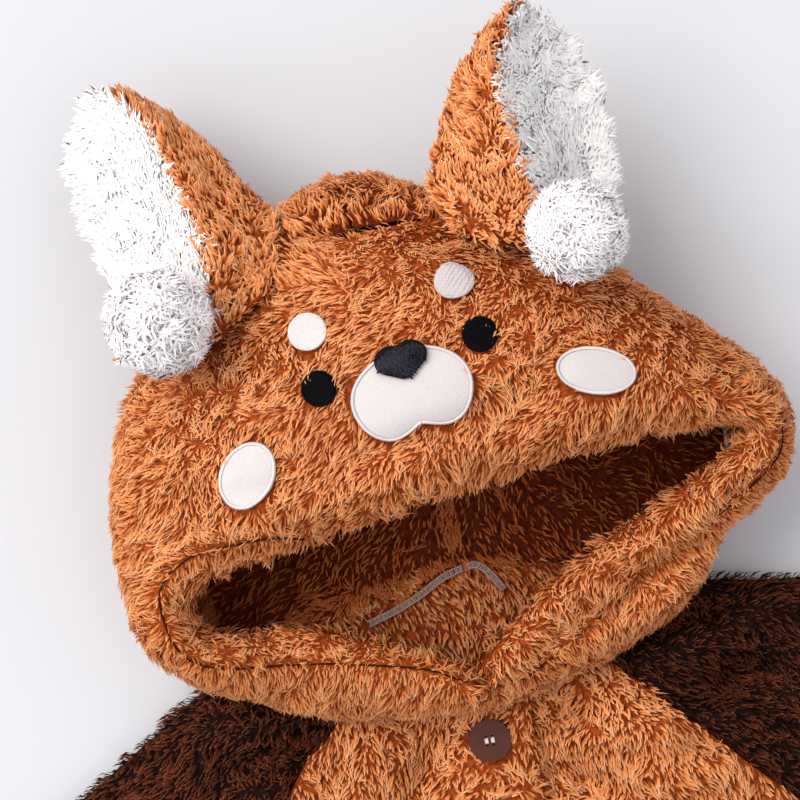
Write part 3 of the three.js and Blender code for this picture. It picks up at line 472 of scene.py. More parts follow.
def locks_mesh(name, root, up, along, long, wide, stand, plain, rise, material, soft=0.35):
    """One pointed lock on each root. A bent lock is thin at the root, widest at its knee and closed
    to a tip, and it sways a little sideways. Plain locks are straight, for the undercoat and for
    cloth that lies far from the hood. Locks that would reach under the floor lie pressed on it. The
    shading turns towards the tuft's, as fine hairs' does."""
    side = np.cross(along, up)
    side /= np.maximum(np.linalg.norm(side, axis=1), 1e-9)[:, None]
    lean = np.sqrt(np.maximum(long ** 2 - stand ** 2, (0.25 * long) ** 2))
    shade = dice.uniform(0, 1, len(root))
    sway = dice.normal(0, 0.1, len(root))
    tuft = up - 0.4 * rise
    points, normals, corners, uvs = [], [], [], []
    points_so_far = 0
    bent = [(2, 1, 3), (0, 2, 3), (1, 0, 3), (1, 2, 4), (2, 0, 4), (0, 1, 4)]
    straight = [(1, 0, 3), (2, 1, 3), (0, 2, 3), (0, 1, 2)]
    # Each corner's place on the colour ramp, from 0 at the root, where it paints shade, to 1 at the tip,
    # where it paints a highlight.
    for kind, faces, hanging_faces, lift, out, half, levels in (
            (~plain, bent, (2, 5), 0.68, 0.40, 0.52, (0.55, 0.55, 0.6, 1.0, 0.0)),
            (plain, straight, (0, 3), -0.1, 0.0, 0.6, (0.0, 0.0, 0.0, 1.0))):
        many = int(kind.sum())
        if not many:
            continue
        u, f, w = up[kind], along[kind], side[kind]
        tall, far, half = stand[kind][:, None], lean[kind][:, None], (half * wide[kind])[:, None]
        knee = root[kind] + u * lift * tall + f * out * far + w * (sway[kind] * long[kind])[:, None]
        spots = np.stack([knee - w * half, knee + w * half, knee + u * 0.8 * half,
                          root[kind] + u * tall + f * far, root[kind] - u * 0.1 * tall], axis=1)
        spots[:, :, 2] = np.maximum(spots[:, :, 2], PRESSED)
        facing = np.stack([u - 0.7 * w, u + 0.7 * w, u + 0.1 * f, u + 0.45 * f, u], axis=1)
        facing /= np.linalg.norm(facing, axis=2)[:, :, None]
        faces = np.array(faces)
        corner_normals = facing[:, faces]
        under = 0.75 * f - 0.35 * u
        for face in hanging_faces:
            corner_normals[:, face] = under[:, None]
        corner_normals = (1 - soft) * corner_normals + soft * tuft[kind][:, None, None]
        size = len(levels)
        uv = np.empty((many, len(faces), 3, 2))
        uv[:, :, :, 0] = shade[kind][:, None, None]
        uv[:, :, :, 1] = np.array(levels)[faces]
        points.append(spots[:, :size].reshape(-1, 3))
        normals.append(corner_normals.reshape(-1, 3))
        corners.append((points_so_far + np.arange(many)[:, None, None] * size + faces).ravel())
        uvs.append(uv.reshape(-1, 2))
        points_so_far += many * size
    points, normals, corners, uvs = (np.concatenate(rows) for rows in (points, normals, corners, uvs))
    mesh = bpy.data.meshes.new(name)
    mesh.vertices.add(len(points))
    mesh.vertices.foreach_set("co", points.ravel())
    mesh.loops.add(len(corners))
    mesh.loops.foreach_set("vertex_index", corners.astype(np.int32))
    mesh.polygons.add(len(corners) // 3)
    mesh.polygons.foreach_set("loop_start", np.arange(0, len(corners), 3, dtype=np.int32))
    mesh.polygons.foreach_set("use_smooth", np.ones(len(corners) // 3, dtype=bool))
    mesh.update(calc_edges=True)
    mesh.uv_layers.new(name="lock").data.foreach_set("uv", uvs.ravel())
    normals /= np.linalg.norm(normals, axis=1)[:, None]
    mesh.normals_split_custom_set(normals.astype(np.float32))
    mesh.materials.append(material)
    return mesh


def far_size(at):
    """Locks grow away from the hood, where the garment is only seen from further off."""
    return 1 + 1.8 * np.clip((0.622 - at[:, 1]) / 0.13, 0, 1)


def outline_from_above(node, turns=60):
    """Middle of a small piece and its reach from there, turn by turn, seen from above."""
    low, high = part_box(node)
    middle = (low + high) / 2
    own = BVHTree.FromPolygons(
        [v.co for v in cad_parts[node].data.vertices],
        [list(face.vertices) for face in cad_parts[node].data.polygons])
    reach = []
    for k in range(turns):
        turn = 2 * math.pi * k / turns
        way, far = Vector((math.cos(turn), math.sin(turn), 0)), 0.0
        while own.ray_cast(middle + way * far + Vector((0, 0, 0.05)), Vector((0, 0, -1)), 0.1)[0]:
            far += 0.00025
        reach.append(far)
    reach = np.array(reach)
    for _ in range(2):
        reach = (np.roll(reach, 1) + 2 * reach + np.roll(reach, -1)) / 4
    return middle, reach, own


def outside(at, middle, reach):
    """How far each point is outside an outline seen from above, and the way out of it."""
    gap = at[:, :2] - np.array(middle[:2])
    far = np.linalg.norm(gap, axis=1)
    turn = np.arctan2(gap[:, 1], gap[:, 0]) / (2 * math.pi) * len(reach)
    edge = np.interp(turn % len(reach), np.arange(len(reach) + 1), np.append(reach, reach[0]))
    way = np.zeros_like(at)
    way[:, :2] = gap / np.maximum(far, 1e-6)[:, None]
    return far - edge, way


def pile_on(cloth, name, many, lock, material, comb, curl=(0.8, 0.6, 0.2), parted=None,
            covers=(), only=None, surface=None, growing=True, soft=0.35,
            straight=0.36):
    """Sows roots over the open side of a cloth and stands one lock on each. The pile is parted along
    stitched lines, and it leaves out what lies on the cloth and leans away from it."""
    corners, normals, area, opened = surface or surface_of(cloth.data)
    middle = corners.mean(axis=1)
    size = far_size(middle) if growing else np.ones(len(middle))
    weight = area * np.where(opened > 0, 0.35 + 0.65 * np.minimum(1, 3 * opened), 0) / size ** 2
    if only is not None:
        weight = weight * only(middle)
    steps = np.cumsum(weight)
    pick = np.searchsorted(steps, (np.arange(many) + dice.uniform(0, 1, many)) / many * steps[-1])
    pick = np.minimum(pick, len(weight) - 1)
    s, t = np.sqrt(dice.uniform(0, 1, many)), dice.uniform(0, 1, many)
    share = np.stack([1 - s, s * (1 - t), s * t], axis=1)[:, :, None]
    root = (corners[pick] * share).sum(axis=1)
    up = (normals[pick] * share).sum(axis=1)
    up /= np.linalg.norm(up, axis=1)[:, None]
    push = np.zeros_like(root)
    keep = np.ones(many, dtype=bool)
    for spot, reach, margin, lean_off in covers:
        gap, way = outside(root, spot, reach)
        on_top = (up[:, 2] > 0) & (np.abs(root[:, 2] - spot[2]) < 0.03)
        keep &= ~(on_top & (gap < margin))
        push += way * (on_top * lean_off * np.clip(1 - gap / 0.004, 0, 1))[:, None]
    root, up, push = root[keep], up[keep], push[keep]
    many = len(root)
    grown = far_size(root) if growing else np.ones(many)
    low = np.ones(many)
    if parted is not None:
        for start in range(0, many, 4000):
            part = slice(start, start + 4000)
            gap = root[part, None, :] - parted[None, :, :]
            far = np.sqrt((gap ** 2).sum(axis=2))
            nearest = far.argmin(axis=1)
            near = far[np.arange(len(nearest)), nearest]
            way = gap[np.arange(len(nearest)), nearest] / np.maximum(near, 1e-6)[:, None]
            push[part] += way * (2.6 * np.clip(1 - near / 0.009, 0, 1))[:, None]
            low[part] = np.clip(near / 0.0042, 0.25, 1) * (near > 0.0010)
    high, rise = tufts(root)
    along = comb(root) + curl[0] * wander(root, 0.032, 1) + curl[1] * wander(root, 0.012, 2)
    along = along + curl[2] * dice.normal(0, 1, (many, 3)) + 0.55 * rise + push
    along -= up * (along * up).sum(axis=1)[:, None]
    along /= np.maximum(np.linalg.norm(along, axis=1), 1e-9)[:, None]
    tuft = 1 + 0.45 * high + 0.13 * dice.normal(0, 1, many)
    tuft = np.clip(tuft, 0.5, 1.4)
    long, stand = lock["long"] * tuft * grown, lock["stand"] * tuft * grown ** 0.3
    wide = lock["wide"] * dice.uniform(0.75, 1.25, many) * grown
    stand, long = np.minimum(stand, 0.95 * long) * low, long * (0.45 + 0.55 * low)
    undercoat = dice.uniform(0, 1, many) < straight
    long, stand = np.where(undercoat, 0.82 * long, long), np.where(undercoat, 0.8 * stand, stand)
    grows = low > 0
    rows = (root, up, along, long, wide, stand, undercoat | (grown > 1.35), rise)
    mesh = locks_mesh(name, *(row[grows] for row in rows), material, soft)
    piece = bpy.data.objects.new(name, mesh)
    bpy.context.scene.collection.objects.link(piece)
    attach(piece, "root")
    return piece


def down_nap(x, y):
    way = np.array([x, y, 0.0])
    return lambda at: np.broadcast_to(way, at.shape)


tan_pile = ramp_material("tan_pile", TAN_PILE, 0.62)
tan_backing = backing_material("tan_backing", TAN_BACKING)
inner_shade_pile = ramp_material("inner_shade_pile", INNER_SHADE_PILE, 0.7)
inner_shade_backing = backing_material("inner_shade_backing", INNER_SHADE_BACKING)

# The topstitch round the opening and the overlocked neck seam inside, as places in the picture.
TOPSTITCH_PATHS = {
    "lower": [(304, 540), (276, 538), (251, 542), (220, 548), (192, 556), (171, 571), (160, 588),
              (158, 600), (162, 617), (171, 643), (188, 661), (207, 668), (234, 670), (266, 667),
              (297, 665), (329, 664), (360, 665), (402, 667), (430, 670), (466, 682)],
    "side": [(782, 425), (784, 440), (780, 456), (766, 473), (745, 493), (715, 520), (680, 550),
             (640, 584), (600, 618), (560, 652), (520, 684)],
}
NECK_SEAM = [(368, 624), (395, 611), (419, 596), (442, 577), (463, 567), (477, 562), (485, 568),
             (495, 579), (504, 589)]


def path_on_garment(path, gap=3):
    spots = [seen_point(px, py) for px, py in smooth_path(path, gap)]
    return np.array([spot[:] for spot in spots if spot])


topstitch_lines = {name: path_on_garment(path) for name, path in TOPSTITCH_PATHS.items()}
neck_seam_line = path_on_garment(NECK_SEAM)
parting = np.concatenate(list(topstitch_lines.values()) + [neck_seam_line])
PATCHES = ("eye_right", "eye_left", "brow_right", "brow_left", "cheek_right", "cheek_left",
           "muzzle", "nose")
outlines = {node: outline_from_above(node) for node in PATCHES}
patch_covers = [(spot, reach, -0.0014, 0.2) for spot, reach, own in outlines.values()]


def hood_nap(at):
    """The nap runs down and to the right side of the face, and outwards near the hood's rim."""
    away = (at - HOOD_MIDDLE) / np.array([0.170, 0.115, 1])
    away[:, 2] = 0
    far = np.linalg.norm(away, axis=1)
    rim = np.clip((far - 0.65) / 0.4, 0, 1)[:, None]
    return (1 - rim) * np.array([-0.5, -0.85, 0]) + rim * away / np.maximum(far, 1e-6)[:, None]


def crown_nap(at):
    away = at - HOOD_MIDDLE
    away[:, 2] = 0
    return away / np.maximum(np.linalg.norm(away, axis=1), 1e-6)[:, None]


hood_cloth = {}
for node in ("hood_front", "hood_back_right", "hood_back_left"):
    # The back panels' backing is the darker copy, painted shade inside the hood, on the crown as well.
    hood_cloth[node] = cloth_from(
        node, node + "_backing", HOOD_BACKING_SINK,
        tan_backing if node == "hood_front" else inner_shade_backing, 1)
front_surface = surface_of(hood_cloth["hood_front"].data)
pile_on(hood_cloth["hood_front"], "hood_front_pile_right", 27200, HOOD_LOCK, tan_pile,
            hood_nap, parted=parting, covers=patch_covers, surface=front_surface,
            only=lambda at: at[:, 0] < HOOD_MIDDLE[0], straight=0.6)
pile_on(hood_cloth["hood_front"], "hood_front_pile_left", 27200, HOOD_LOCK, tan_pile,
            hood_nap, parted=parting, covers=patch_covers, surface=front_surface,
            only=lambda at: at[:, 0] >= HOOD_MIDDLE[0], straight=0.6)
for node in ("hood_back_right", "hood_back_left"):
    back_surface = surface_of(hood_cloth[node].data)
    # Low on the back panels the pile is the darker copy, painted shade inside the hood; higher up, on the
    # crown, it is the tan pile.
    pile_on(hood_cloth[node], node + "_inner_shade_pile", 3900, HOOD_LOCK, inner_shade_pile,
                crown_nap, parted=neck_seam_line, surface=back_surface,
                only=lambda at: at[:, 2] < INNER_SHADE_HEIGHT)
    pile_on(hood_cloth[node], node + "_pile", 2500, HOOD_LOCK, tan_pile,
                crown_nap, parted=neck_seam_line, surface=back_surface,
                only=lambda at: at[:, 2] >= INNER_SHADE_HEIGHT)


# Seam allowances inside the hood: narrow strips of the same plush that lie under the neck seam, the side
# seam and the centre back seam, and close them from below. They take the darker copies of the pile and
# backing, painted shade inside the hood.
ALLOWANCE_TOP = 0.0033
ALLOWANCES = {
    "neck": ([(296, 631), (316, 620), (332, 612), (348, 604), (380, 590), (410, 580), (438, 571),
              (475, 566), (515, 562)], 0.0058, 1000),
    "side": ([(197, 584), (203, 600), (209, 614), (217, 632)], 0.0056, 420),
    "centre": ([(438, 470), (447, 505), (454, 545)], 0.0040, 260),
}


def floor_point(px, py, height):
    reach = FRAME_WIDTH / 800
    right = Vector((math.cos(PICTURE_TURN), -math.sin(PICTURE_TURN), 0))
    top = Vector((math.sin(PICTURE_TURN), math.cos(PICTURE_TURN), 0))
    way = AIM + (right * (px - 400) + top * (400 - py)) * reach - camera.location
    return camera.location + way * ((camera.location.z - height) / -way.z)


def strip(name, middle, wide, thick, material):
    """A flat closed band along a line, lying level."""
    points, faces = [], []
    for i, spot in enumerate(middle):
        ahead = (middle[min(i + 1, len(middle) - 1)] - middle[max(i - 1, 0)]).normalized()
        side = ahead.cross(Vector((0, 0, 1))).normalized() * wide
        down = Vector((0, 0, -thick))
        points += [spot - side, spot + side, spot + side + down, spot - side + down]
    for i in range(0, len(points) - 4, 4):
        for k in range(4):
            a, b = i + k, i + (k + 1) % 4
            faces.append((a, b, b + 4, a + 4))
    faces.append((3, 2, 1, 0))
    faces.append(tuple(len(points) - 4 + k for k in range(4)))
    shape = bmesh.new()
    for point in points:
        shape.verts.new(point)
    shape.verts.ensure_lookup_table()
    for face in faces:
        shape.faces.new([shape.verts[k] for k in face])
    bmesh.ops.recalc_face_normals(shape, faces=shape.faces)
    mesh = bpy.data.meshes.new(name)
    shape.to_mesh(mesh)
    shape.free()
    mesh.materials.append(material)
    piece = bpy.data.objects.new(name, mesh)
    bpy.context.scene.collection.objects.link(piece)
    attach(piece, "root")
    return piece


def level_line(path, height, gap):
    spots = [floor_point(px, py, height) for px, py in path]
    return [Vector(spot) for spot in smooth_path([spot[:] for spot in spots], gap)]


for seam, (path, wide, many) in ALLOWANCES.items():
    band = strip(seam + "_allowance", level_line(path, ALLOWANCE_TOP, 0.003), wide, 0.0026,
                 inner_shade_backing)
    corners, normals, area, opened = surface_of(band.data)
    upward = np.where(normals[:, :, 2].mean(axis=1) > 0.2, 1.0, 0.0)
    normals = np.broadcast_to(np.array([0.0, 0.0, 1.0]), normals.shape)
    pile_on(band, seam + "_allowance_pile", many, HOOD_LOCK, inner_shade_pile, crown_nap,
            parted=parting, surface=(corners, normals, area, upward))


# Stitching: the topstitch that holds the hem of the opening, sunk in the parted pile, and the
# overlocked edge inside the back neck, with one loose end of thread below it.
THREAD = 0.00042


def thread_material(name, dark, light, roughness, gloss=0.3):
    """Twisted thread: fine turns of two near shades, with a soft shine."""
    material, tree, shader = new_material(name, roughness)
    turns = tree.nodes.new("ShaderNodeTexWave")
    turns.inputs["Scale"].default_value = 700
    turns.inputs["Distortion"].default_value = 2
    place = tree.nodes.new("ShaderNodeTexCoord")
    ramp = tree.nodes.new("ShaderNodeValToRGB")
    ramp.color_ramp.elements[0].color = linear(*dark)
    ramp.color_ramp.elements[1].color = linear(*light)
    tree.links.new(place.outputs["Object"], turns.inputs["Vector"])
    tree.links.new(turns.outputs["Fac"], ramp.inputs["Fac"])
    tree.links.new(ramp.outputs["Color"], shader.inputs["Base Color"])
    shader.inputs["Specular IOR Level"].default_value = gloss
    return material


def threads(name, paths, radius, material, sides=4):
    """Fine threads as closed tubes along short paths, joined in one mesh."""
    places = folded(np.array([spot[:] for path in paths for spot in path]))
    points, faces, done = [], [], 0
    for path in paths:
        first = len(points)
        path = [Vector(place) for place in places[done:done + len(path)]]
        done += len(path)
        for i, spot in enumerate(path):
            ahead = (path[min(i + 1, len(path) - 1)] - path[max(i - 1, 0)]).normalized()
            side = ahead.cross(Vector((0, 0, 1)))
            side = side.normalized() if side.length > 0.05 else Vector((1, 0, 0))
            top = side.cross(ahead)
            for k in range(sides):
                turn = 2 * math.pi * k / sides
                points.append(spot + (side * math.cos(turn) + top * math.sin(turn)) * radius)
        for i in range(len(path) - 1):
            for k in range(sides):
                a, b = first + i * sides + k, first + i * sides + (k + 1) % sides
                faces.append((b, a, a + sides, b + sides))
        last = first + (len(path) - 1) * sides
        faces.append(tuple(first + k for k in range(sides)))
        faces.append(tuple(last + k for k in reversed(range(sides))))
    mesh = bpy.data.meshes.new(name)
    mesh.from_pydata(points, [], faces)
    for face in mesh.polygons:
        face.use_smooth = True
    mesh.materials.append(material)
    piece = bpy.data.objects.new(name, mesh)
    bpy.context.scene.collection.objects.link(piece)
    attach(piece, "root")
    return piece


# The topstitch thread's near-black is partly the thread's own colour and partly painted shade of the groove
# it lies in.
seam_thread_and_groove_shade = thread_material("seam_thread_and_groove_shade", (26, 8, 2), (58, 22, 8), 0.7, gloss=0.1)
STITCH = 0.0034
topstitches = []
for line in topstitch_lines.values():
    dense = smooth_path(line, 0.0008)
    for start in range(0, len(dense) - 4, 4):
        run = [Vector(spot) for spot in dense[start:start + 5]]
        topstitches.append([spot - Vector((0, 0, 0.0011 + dip)) for spot, dip in
                            zip(run, (0.0007, 0.0001, 0, 0.0001, 0.0007))])
threads("topstitch", topstitches, THREAD, seam_thread_and_groove_shade)

OVERLOCK = {"wide": 0.0018, "thick": 0.0008, "above": 0.0036, "pitch": 0.0009}
overlock_thread = thread_material("overlock_thread", (150, 122, 108), (226, 208, 196), 0.6)
edge_line = [Vector(spot) + Vector((0, 0, OVERLOCK["above"]))
             for spot in smooth_path(neck_seam_line, 0.002)]
strip("overlocked_edge", edge_line, OVERLOCK["wide"], OVERLOCK["thick"],
      backing_material("neck_edge", (132, 74, 44)))
loops = []
dense = [Vector(spot) + Vector((0, 0, OVERLOCK["above"] + 0.0002))
         for spot in smooth_path(neck_seam_line, OVERLOCK["pitch"])]
for before, spot, after in zip(dense, dense[1:], dense[2:]):
    ahead = (after - before).normalized()
    side = ahead.cross(Vector((0, 0, 1))).normalized() * OVERLOCK["wide"] * 1.04
    drop = Vector((0, 0, -OVERLOCK["thick"]))
    skew = ahead * (0.0005 * dice.uniform(0.4, 1.6))
    loops.append([spot - side + drop, spot - side, spot + skew, spot + side, spot + side + drop])
for share in (-0.8, 0.75):
    loops.append([spot + (after - spot).normalized().cross(Vector((0, 0, 1))) *
                  (OVERLOCK["wide"] * share) + Vector((0, 0, 0.0002))
                  for spot, after in zip(dense, dense[1:])])
threads("overlock_stitches", loops, 0.00021, overlock_thread)
LOOSE_END = [(450, 641), (451, 647), (455, 653), (460, 658), (463, 660)]
loose = [Vector(spot) + Vector((0, 0, 0.0035)) for spot in path_on_garment(LOOSE_END, 1.5)]
threads("loose_thread", [loose], 0.0003, overlock_thread, sides=6)


# Face patches: eyes and brows in fill stitch, cheeks and muzzle of white velour inside a satin
# edge, and a small heart of black plush for the nose, all sewn on the front of the hood.
BLACK_THREAD = thread_material("embroidery_black", (3, 3, 4), (10, 10, 13), 0.6, gloss=0.08)
WHITE_THREAD = thread_material("embroidery_white", (184, 175, 174), (224, 216, 215), 0.5)
EDGE_THREAD = thread_material("edge_white", (208, 202, 200), (230, 226, 224), 0.6, gloss=0.1)
EDGE_STITCH = 0.0015


def top_of(own, x, y, height):
    return own.ray_cast(Vector((x, y, height + 0.05)), Vector((0, 0, -1)), 0.1)[0]


def fill_stitches(node, turn, pitch=0.00046, stitch=0.0036):
    """Rows of short stitches laid side by side over a patch, each row a little shifted."""
    spot, reach, own = outlines[node]
    ahead = Vector((math.cos(turn), math.sin(turn), 0))
    side = Vector((-math.sin(turn), math.cos(turn), 0))
    size, rows = float(reach.max()), []
    for row in range(int(-size / pitch), int(size / pitch) + 1):
        path = []
        shift = stitch * dice.uniform(0, 1)
        for step in np.arange(-size, size, stitch / 4):
            at = spot + side * (row * pitch) + ahead * float(step)
            gap = outside(np.array([at[:]]), spot, reach)[0][0]
            hit = top_of(own, at.x, at.y, spot.z) if gap < -0.0004 else None
            if hit:
                phase = ((float(step) + shift) / stitch) % 1
                path.append(hit + Vector((0, 0, 0.0003 + 0.00022 * math.sin(math.pi * phase))))
        if len(path) > 1:
            rows.append(path)
    return rows


def edge_stitches(node, wide=EDGE_STITCH, pitch=0.00046):
    """Satin stitches side by side over the edge of a patch."""
    spot, reach, own = outlines[node]
    turns = np.linspace(0, 2 * math.pi, len(reach) + 1)
    far = np.append(reach, reach[0])
    length = 2 * math.pi * float(reach.mean())
    made = []
    for turn in np.linspace(0, 2 * math.pi, int(length / pitch), endpoint=False):
        edge = float(np.interp(turn, turns, far))
        way = Vector((math.cos(turn), math.sin(turn), 0))
        inner = spot + way * (edge - wide)
        middle = spot + way * (edge - 0.5 * wide)
        inside = top_of(own, inner.x, inner.y, spot.z)
        halfway = top_of(own, middle.x, middle.y, spot.z)
        if inside and halfway:
            outer = halfway + (halfway - inside) + Vector((0, 0, -0.0004))
            made.append([inside + Vector((0, 0, 0.0001)), halfway + Vector((0, 0, 0.0006)), outer])
    return made


def velour_material(name, tint, roughness=0.85):
    """Short dense velour: an even nap in fine relief with a soft sheen."""
    material, tree, shader = new_material(name, roughness)
    place = tree.nodes.new("ShaderNodeTexCoord")
    nap = tree.nodes.new("ShaderNodeTexNoise")
    nap.inputs["Scale"].default_value = 900
    nap.inputs["Detail"].default_value = 4
    tree.links.new(place.outputs["Object"], nap.inputs["Vector"])
    ramp = tree.nodes.new("ShaderNodeValToRGB")
    ramp.color_ramp.elements[0].color = linear(*[level * 0.93 for level in tint])
    ramp.color_ramp.elements[1].color = linear(*tint)
    tree.links.new(nap.outputs["Fac"], ramp.inputs["Fac"])
    tree.links.new(ramp.outputs["Color"], shader.inputs["Base Color"])
    relief = tree.nodes.new("ShaderNodeBump")
    relief.inputs["Distance"].default_value = 0.0006
    relief.inputs["Strength"].default_value = 0.5
    tree.links.new(nap.outputs["Fac"], relief.inputs["Height"])
    tree.links.new(relief.outputs["Normal"], shader.inputs["Normal"])
    shader.inputs["Specular IOR Level"].default_value = 0.15
    return material


velour_white = velour_material("velour_white", (207, 200, 197))
velour_black = velour_material("velour_black", (7, 7, 9))
brow_ground = velour_material("brow_ground", (150, 141, 139))
for node, base, thread, turn in (
        ("eye_right", velour_black, BLACK_THREAD, 0.5), ("eye_left", velour_black, BLACK_THREAD, 0.4),
        ("brow_right", brow_ground, EDGE_THREAD, 1.2), ("brow_left", brow_ground, WHITE_THREAD, 1.3)):
    cloth_from(node, node + "_ground", 0.0, base, 2, firm=0.3)
    threads(node + "_stitches", fill_stitches(node, turn), 0.00027, thread)
    threads(node + "_edge", edge_stitches(node, 0.0011), 0.00027, thread)
for node in ("cheek_right", "cheek_left", "muzzle"):
    cloth_from(node, node + "_velour", 0.0, velour_white, 2, firm=0.3)
    threads(node + "_edge", edge_stitches(node), 0.00028, EDGE_THREAD)
nose = cloth_from("nose", "nose_velour", 0.0, velour_black, 1, firm=0.9)
# Black nose pile, lighter bluish grey toward the tip: a painted highlight.
nose_pile = ramp_material("nose_pile", [(0.0, (5, 5, 6)), (0.6, (13, 13, 17)), (1.0, (58, 58, 72))], 0.55,
                          spread=0.3)
nose_spot, nose_reach, nose_own = outlines["nose"]


def well_inside_nose(at):
    return (outside(at, nose_spot, nose_reach)[0] < -0.0012) & (at[:, 2] > nose_spot.z)


pile_on(nose, "nose_pile", 1300, {"long": 0.0018, "wide": 0.0008, "stand": 0.0006}, nose_pile,
        down_nap(0.3, -0.4), curl=(0.5, 1.5, 0.7), growing=False,
        only=well_inside_nose)


# Top: two fronts and a back of the same tan plush, the right front lapped over the left one.
# The nap runs down the garment and outwards from the placket.
FRONT_LOCK = {"long": 0.0072, "wide": 0.0014, "stand": 0.0042}
button_covers = []
for number in range(1, 6):
    spot, reach, own = outline_from_above("button_%d" % number)
    button_covers.append((spot, reach, -0.0020, 0.0))
for node, flat, area, many, comb in (
        ("front_right", (0.31, 0.68), 0.185, 10000, down_nap(-0.35, -1)),
        ("front_left", (0.31, 0.68), 0.185, 10000, down_nap(0.5, -1)),
        ("back", (0.585, 0.73), 0.352, 1500, down_nap(0, -1))):
    cloth = cloth_from(node, node + "_backing", HOOD_BACKING_SINK, tan_backing, 2)
    pile = pile_on(cloth, node + "_pile", many, FRONT_LOCK, tan_pile, comb,
                   covers=button_covers, parted=neck_seam_line)


# Buttons: five four-hole buttons of moulded plastic on the placket, sewn with pale thread in two
# upright bars and half sunk in the pile. They keep their solids.
BUTTON_BAR = 0.0016
button_plastic, tree, shader = new_material("button_plastic", 0.45)
button_place = tree.nodes.new("ShaderNodeTexCoord")
button_cloud = tree.nodes.new("ShaderNodeTexNoise")
button_cloud.inputs["Scale"].default_value = 160
button_tint = tree.nodes.new("ShaderNodeValToRGB")
button_tint.color_ramp.elements[0].color = linear(60, 27, 17)
button_tint.color_ramp.elements[1].color = linear(88, 45, 32)
tree.links.new(button_place.outputs["Object"], button_cloud.inputs["Vector"])
tree.links.new(button_cloud.outputs["Fac"], button_tint.inputs["Fac"])
tree.links.new(button_tint.outputs["Color"], shader.inputs["Base Color"])
shader.inputs["Specular IOR Level"].default_value = 0.22
button_thread = thread_material("button_thread", (206, 196, 190), (240, 234, 228), 0.5)
for number in range(1, 6):
    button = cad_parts["button_%d" % number]
    for place in button.material_slots:
        place.material = button_plastic
    low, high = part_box("button_%d" % number)
    middle = (low + high) / 2
    rows = []
    for bar in (-BUTTON_BAR, BUTTON_BAR):
        for shift in (-0.0006, 0.0, 0.0006):
            rows.append([Vector((middle.x + bar + shift, middle.y + y, high.z + z)) for y, z in
                         ((-0.0016, -0.0022), (-0.0013, -0.0002), (-0.0007, 0.0006), (0, 0.0008),
                          (0.0007, 0.0006), (0.0013, -0.0002), (0.0016, -0.0022))])
    threads("button_thread_%d" % number, rows, 0.00033, button_thread)


# Sleeves: raglan sleeves of very dark brown plush, each one cloth sewn into a tube.
# The nap runs down the arm.
# Very dark brown pile: painted shade toward the root and a painted highlight toward the lighter tip.
BROWN_PILE = [(0.0, (6, 1, 0)), (0.45, (34, 12, 5)), (0.82, (80, 38, 21)), (1.0, (156, 90, 54))]
brown_pile = ramp_material("brown_pile", BROWN_PILE, 0.75, gloss=0.05)
brown_backing = backing_material("brown_backing", (30, 12, 7))
for node, area, comb in (("sleeve_right", 0.165, down_nap(-0.85, -0.65)),
                         ("sleeve_left", 0.193, down_nap(0.9, -0.5))):
    cloth = cloth_from(node, node + "_backing", HOOD_BACKING_SINK, brown_backing, 2)
    pile = pile_on(cloth, node + "_pile", 8400, FRONT_LOCK, brown_pile, comb)


# Ears: an outer leaf of the tan plush and an inner leaf of fluffy white plush, sewn edge to edge
# and folded lengthwise at the foot.
# White pile, slightly darker at the root: faint painted shade.
WHITE_PILE = [(0.0, (226, 221, 217)), (0.4, (229, 225, 222)), (1.0, (233, 230, 228))]
EAR_LOCK = {"long": 0.0070, "wide": 0.0017, "stand": 0.0040}
EAR_WHITE_LOCK = {"long": 0.0082, "wide": 0.0016, "stand": 0.0030}
white_pile = ramp_material("white_pile", WHITE_PILE, 0.8, spread=0.015)
white_backing = backing_material("white_backing", (224, 221, 219))


def ear_nap(side):
    """Outwards across the white leaf, from a line along its middle."""
    low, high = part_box("ear_inner_" + side)
    foot = np.array([high.x - 0.016, low.y, 0]) if side == "right" else np.array([high.x - 0.016, low.y, 0])
    tip = np.array([low.x + 0.022, high.y, 0])
    run = (tip - foot) / np.linalg.norm(tip - foot)

    def nap(at):
        gap = (at - foot) * np.array([1, 1, 0])
        across = gap - run * (gap * run).sum(axis=1)[:, None]
        return across / 0.018 + 0.35 * run
    return nap


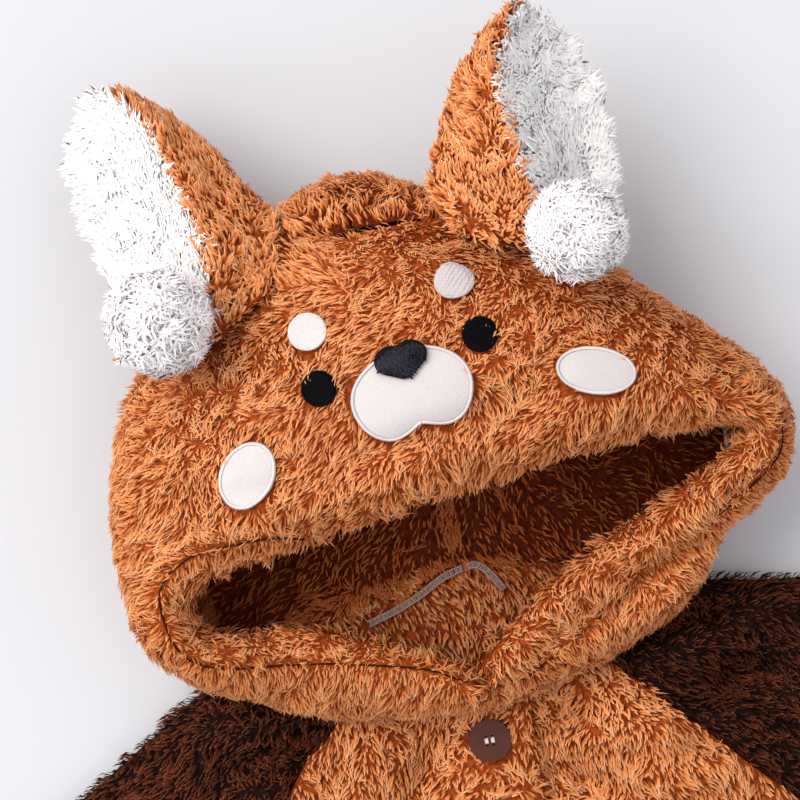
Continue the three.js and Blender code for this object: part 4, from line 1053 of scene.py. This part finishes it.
for side, lean in (("right", -0.15), ("left", 0.1)):
    white_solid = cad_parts["ear_inner_" + side].data
    white_tree = BVHTree.FromPolygons([v.co for v in white_solid.vertices],
                                      [list(face.vertices) for face in white_solid.polygons])

    low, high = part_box("ear_inner_" + side)
    foot, tip = Vector((high.x - 0.016, low.y, 0)), Vector((low.x + 0.022, high.y, 0))
    tan_side = 1 if side == "right" else -1

    def off_white(at):
        keep = []
        for spot in at:
            across = (tip - foot).cross(Vector(spot) - foot).z * tan_side
            clear = 0.0012 if across < 0 else 0.0048
            keep.append(0.0 if white_tree.find_nearest(Vector(spot), clear)[0] else 1.0)
        return np.array(keep)

    cloth = cloth_from("ear_outer_" + side, "ear_outer_" + side + "_backing", 0.0004, tan_backing,
                       1)
    pile = pile_on(cloth, "ear_outer_" + side + "_pile", 4700, EAR_LOCK, tan_pile,
                   down_nap(lean, 0.8), growing=False, only=off_white)
    cloth = cloth_from("ear_inner_" + side, "ear_inner_" + side + "_backing", 0.0003, white_backing,
                       1)
    pile = pile_on(cloth, "ear_inner_" + side + "_pile", 6500, EAR_WHITE_LOCK, white_pile,
                   ear_nap(side), curl=(0.6, 1.0, 0.35), growing=False, soft=0.65)


# Pompoms: balls of cut white yarn, one at the foot of each ear.
# The tufts stand out from a core on all sides and their tips make an uneven ball.
POMPOM_LOCK = {"long": 0.0088, "wide": 0.0015, "stand": 0.0044}
# Pompom tufts slightly darker toward the root: faint painted shade.
pompom_pile = ramp_material(
    "pompom_pile", [(0.0, (246, 237, 236)), (0.5, (250, 243, 242)), (1.0, (253, 248, 247))],
    0.85, spread=0.015)
for side in ("right", "left"):
    low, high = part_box("pompom_" + side)
    centre, radius = (low + high) / 2, (high - low).length / 2 / math.sqrt(3)
    ball = bmesh.new()
    bmesh.ops.create_icosphere(ball, subdivisions=4, radius=radius * 0.80)
    bmesh.ops.translate(ball, verts=ball.verts, vec=centre)
    for face in ball.faces:
        face.smooth = True
    mesh = bpy.data.meshes.new("pompom_core_" + side)
    ball.to_mesh(mesh)
    mesh.materials.append(white_backing)
    core = bpy.data.objects.new("pompom_core_" + side, mesh)
    bpy.context.scene.collection.objects.link(core)
    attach(core, "root")
    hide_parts("pompom_" + side)
    corners, normals, area, opened = surface_of(mesh)
    pile_on(core, "pompom_tufts_" + side, 6200, POMPOM_LOCK, pompom_pile,
            down_nap(0.1, -0.1), curl=(0.5, 1.0, 0.7), growing=False, soft=0.7,
            surface=(corners, normals, area, np.ones(len(area))))


# Trousers: four panels of the same plush and a waistband gathered by its elastic.
TROUSER_LOCK = {"long": 0.0078, "wide": 0.0024, "stand": 0.0042}
for node, flat, area, many in (
        ("trouser_front_right", (0.29, 0.92), 0.213, 6300),
        ("trouser_front_left", (0.29, 0.92), 0.213, 6300),
        ("trouser_back_right", (0.29, 0.92), 0.212, 900),
        ("trouser_back_left", (0.29, 0.92), 0.212, 900),
        ("waistband", (0.08, 0.78), 0.031, 1800)):
    steps = 1 if node == "waistband" else 2
    cloth = cloth_from(node, node + "_backing", HOOD_BACKING_SINK, tan_backing, steps)
    pile = pile_on(cloth, node + "_pile", many, TROUSER_LOCK, tan_pile,
                   down_nap(0, -1))
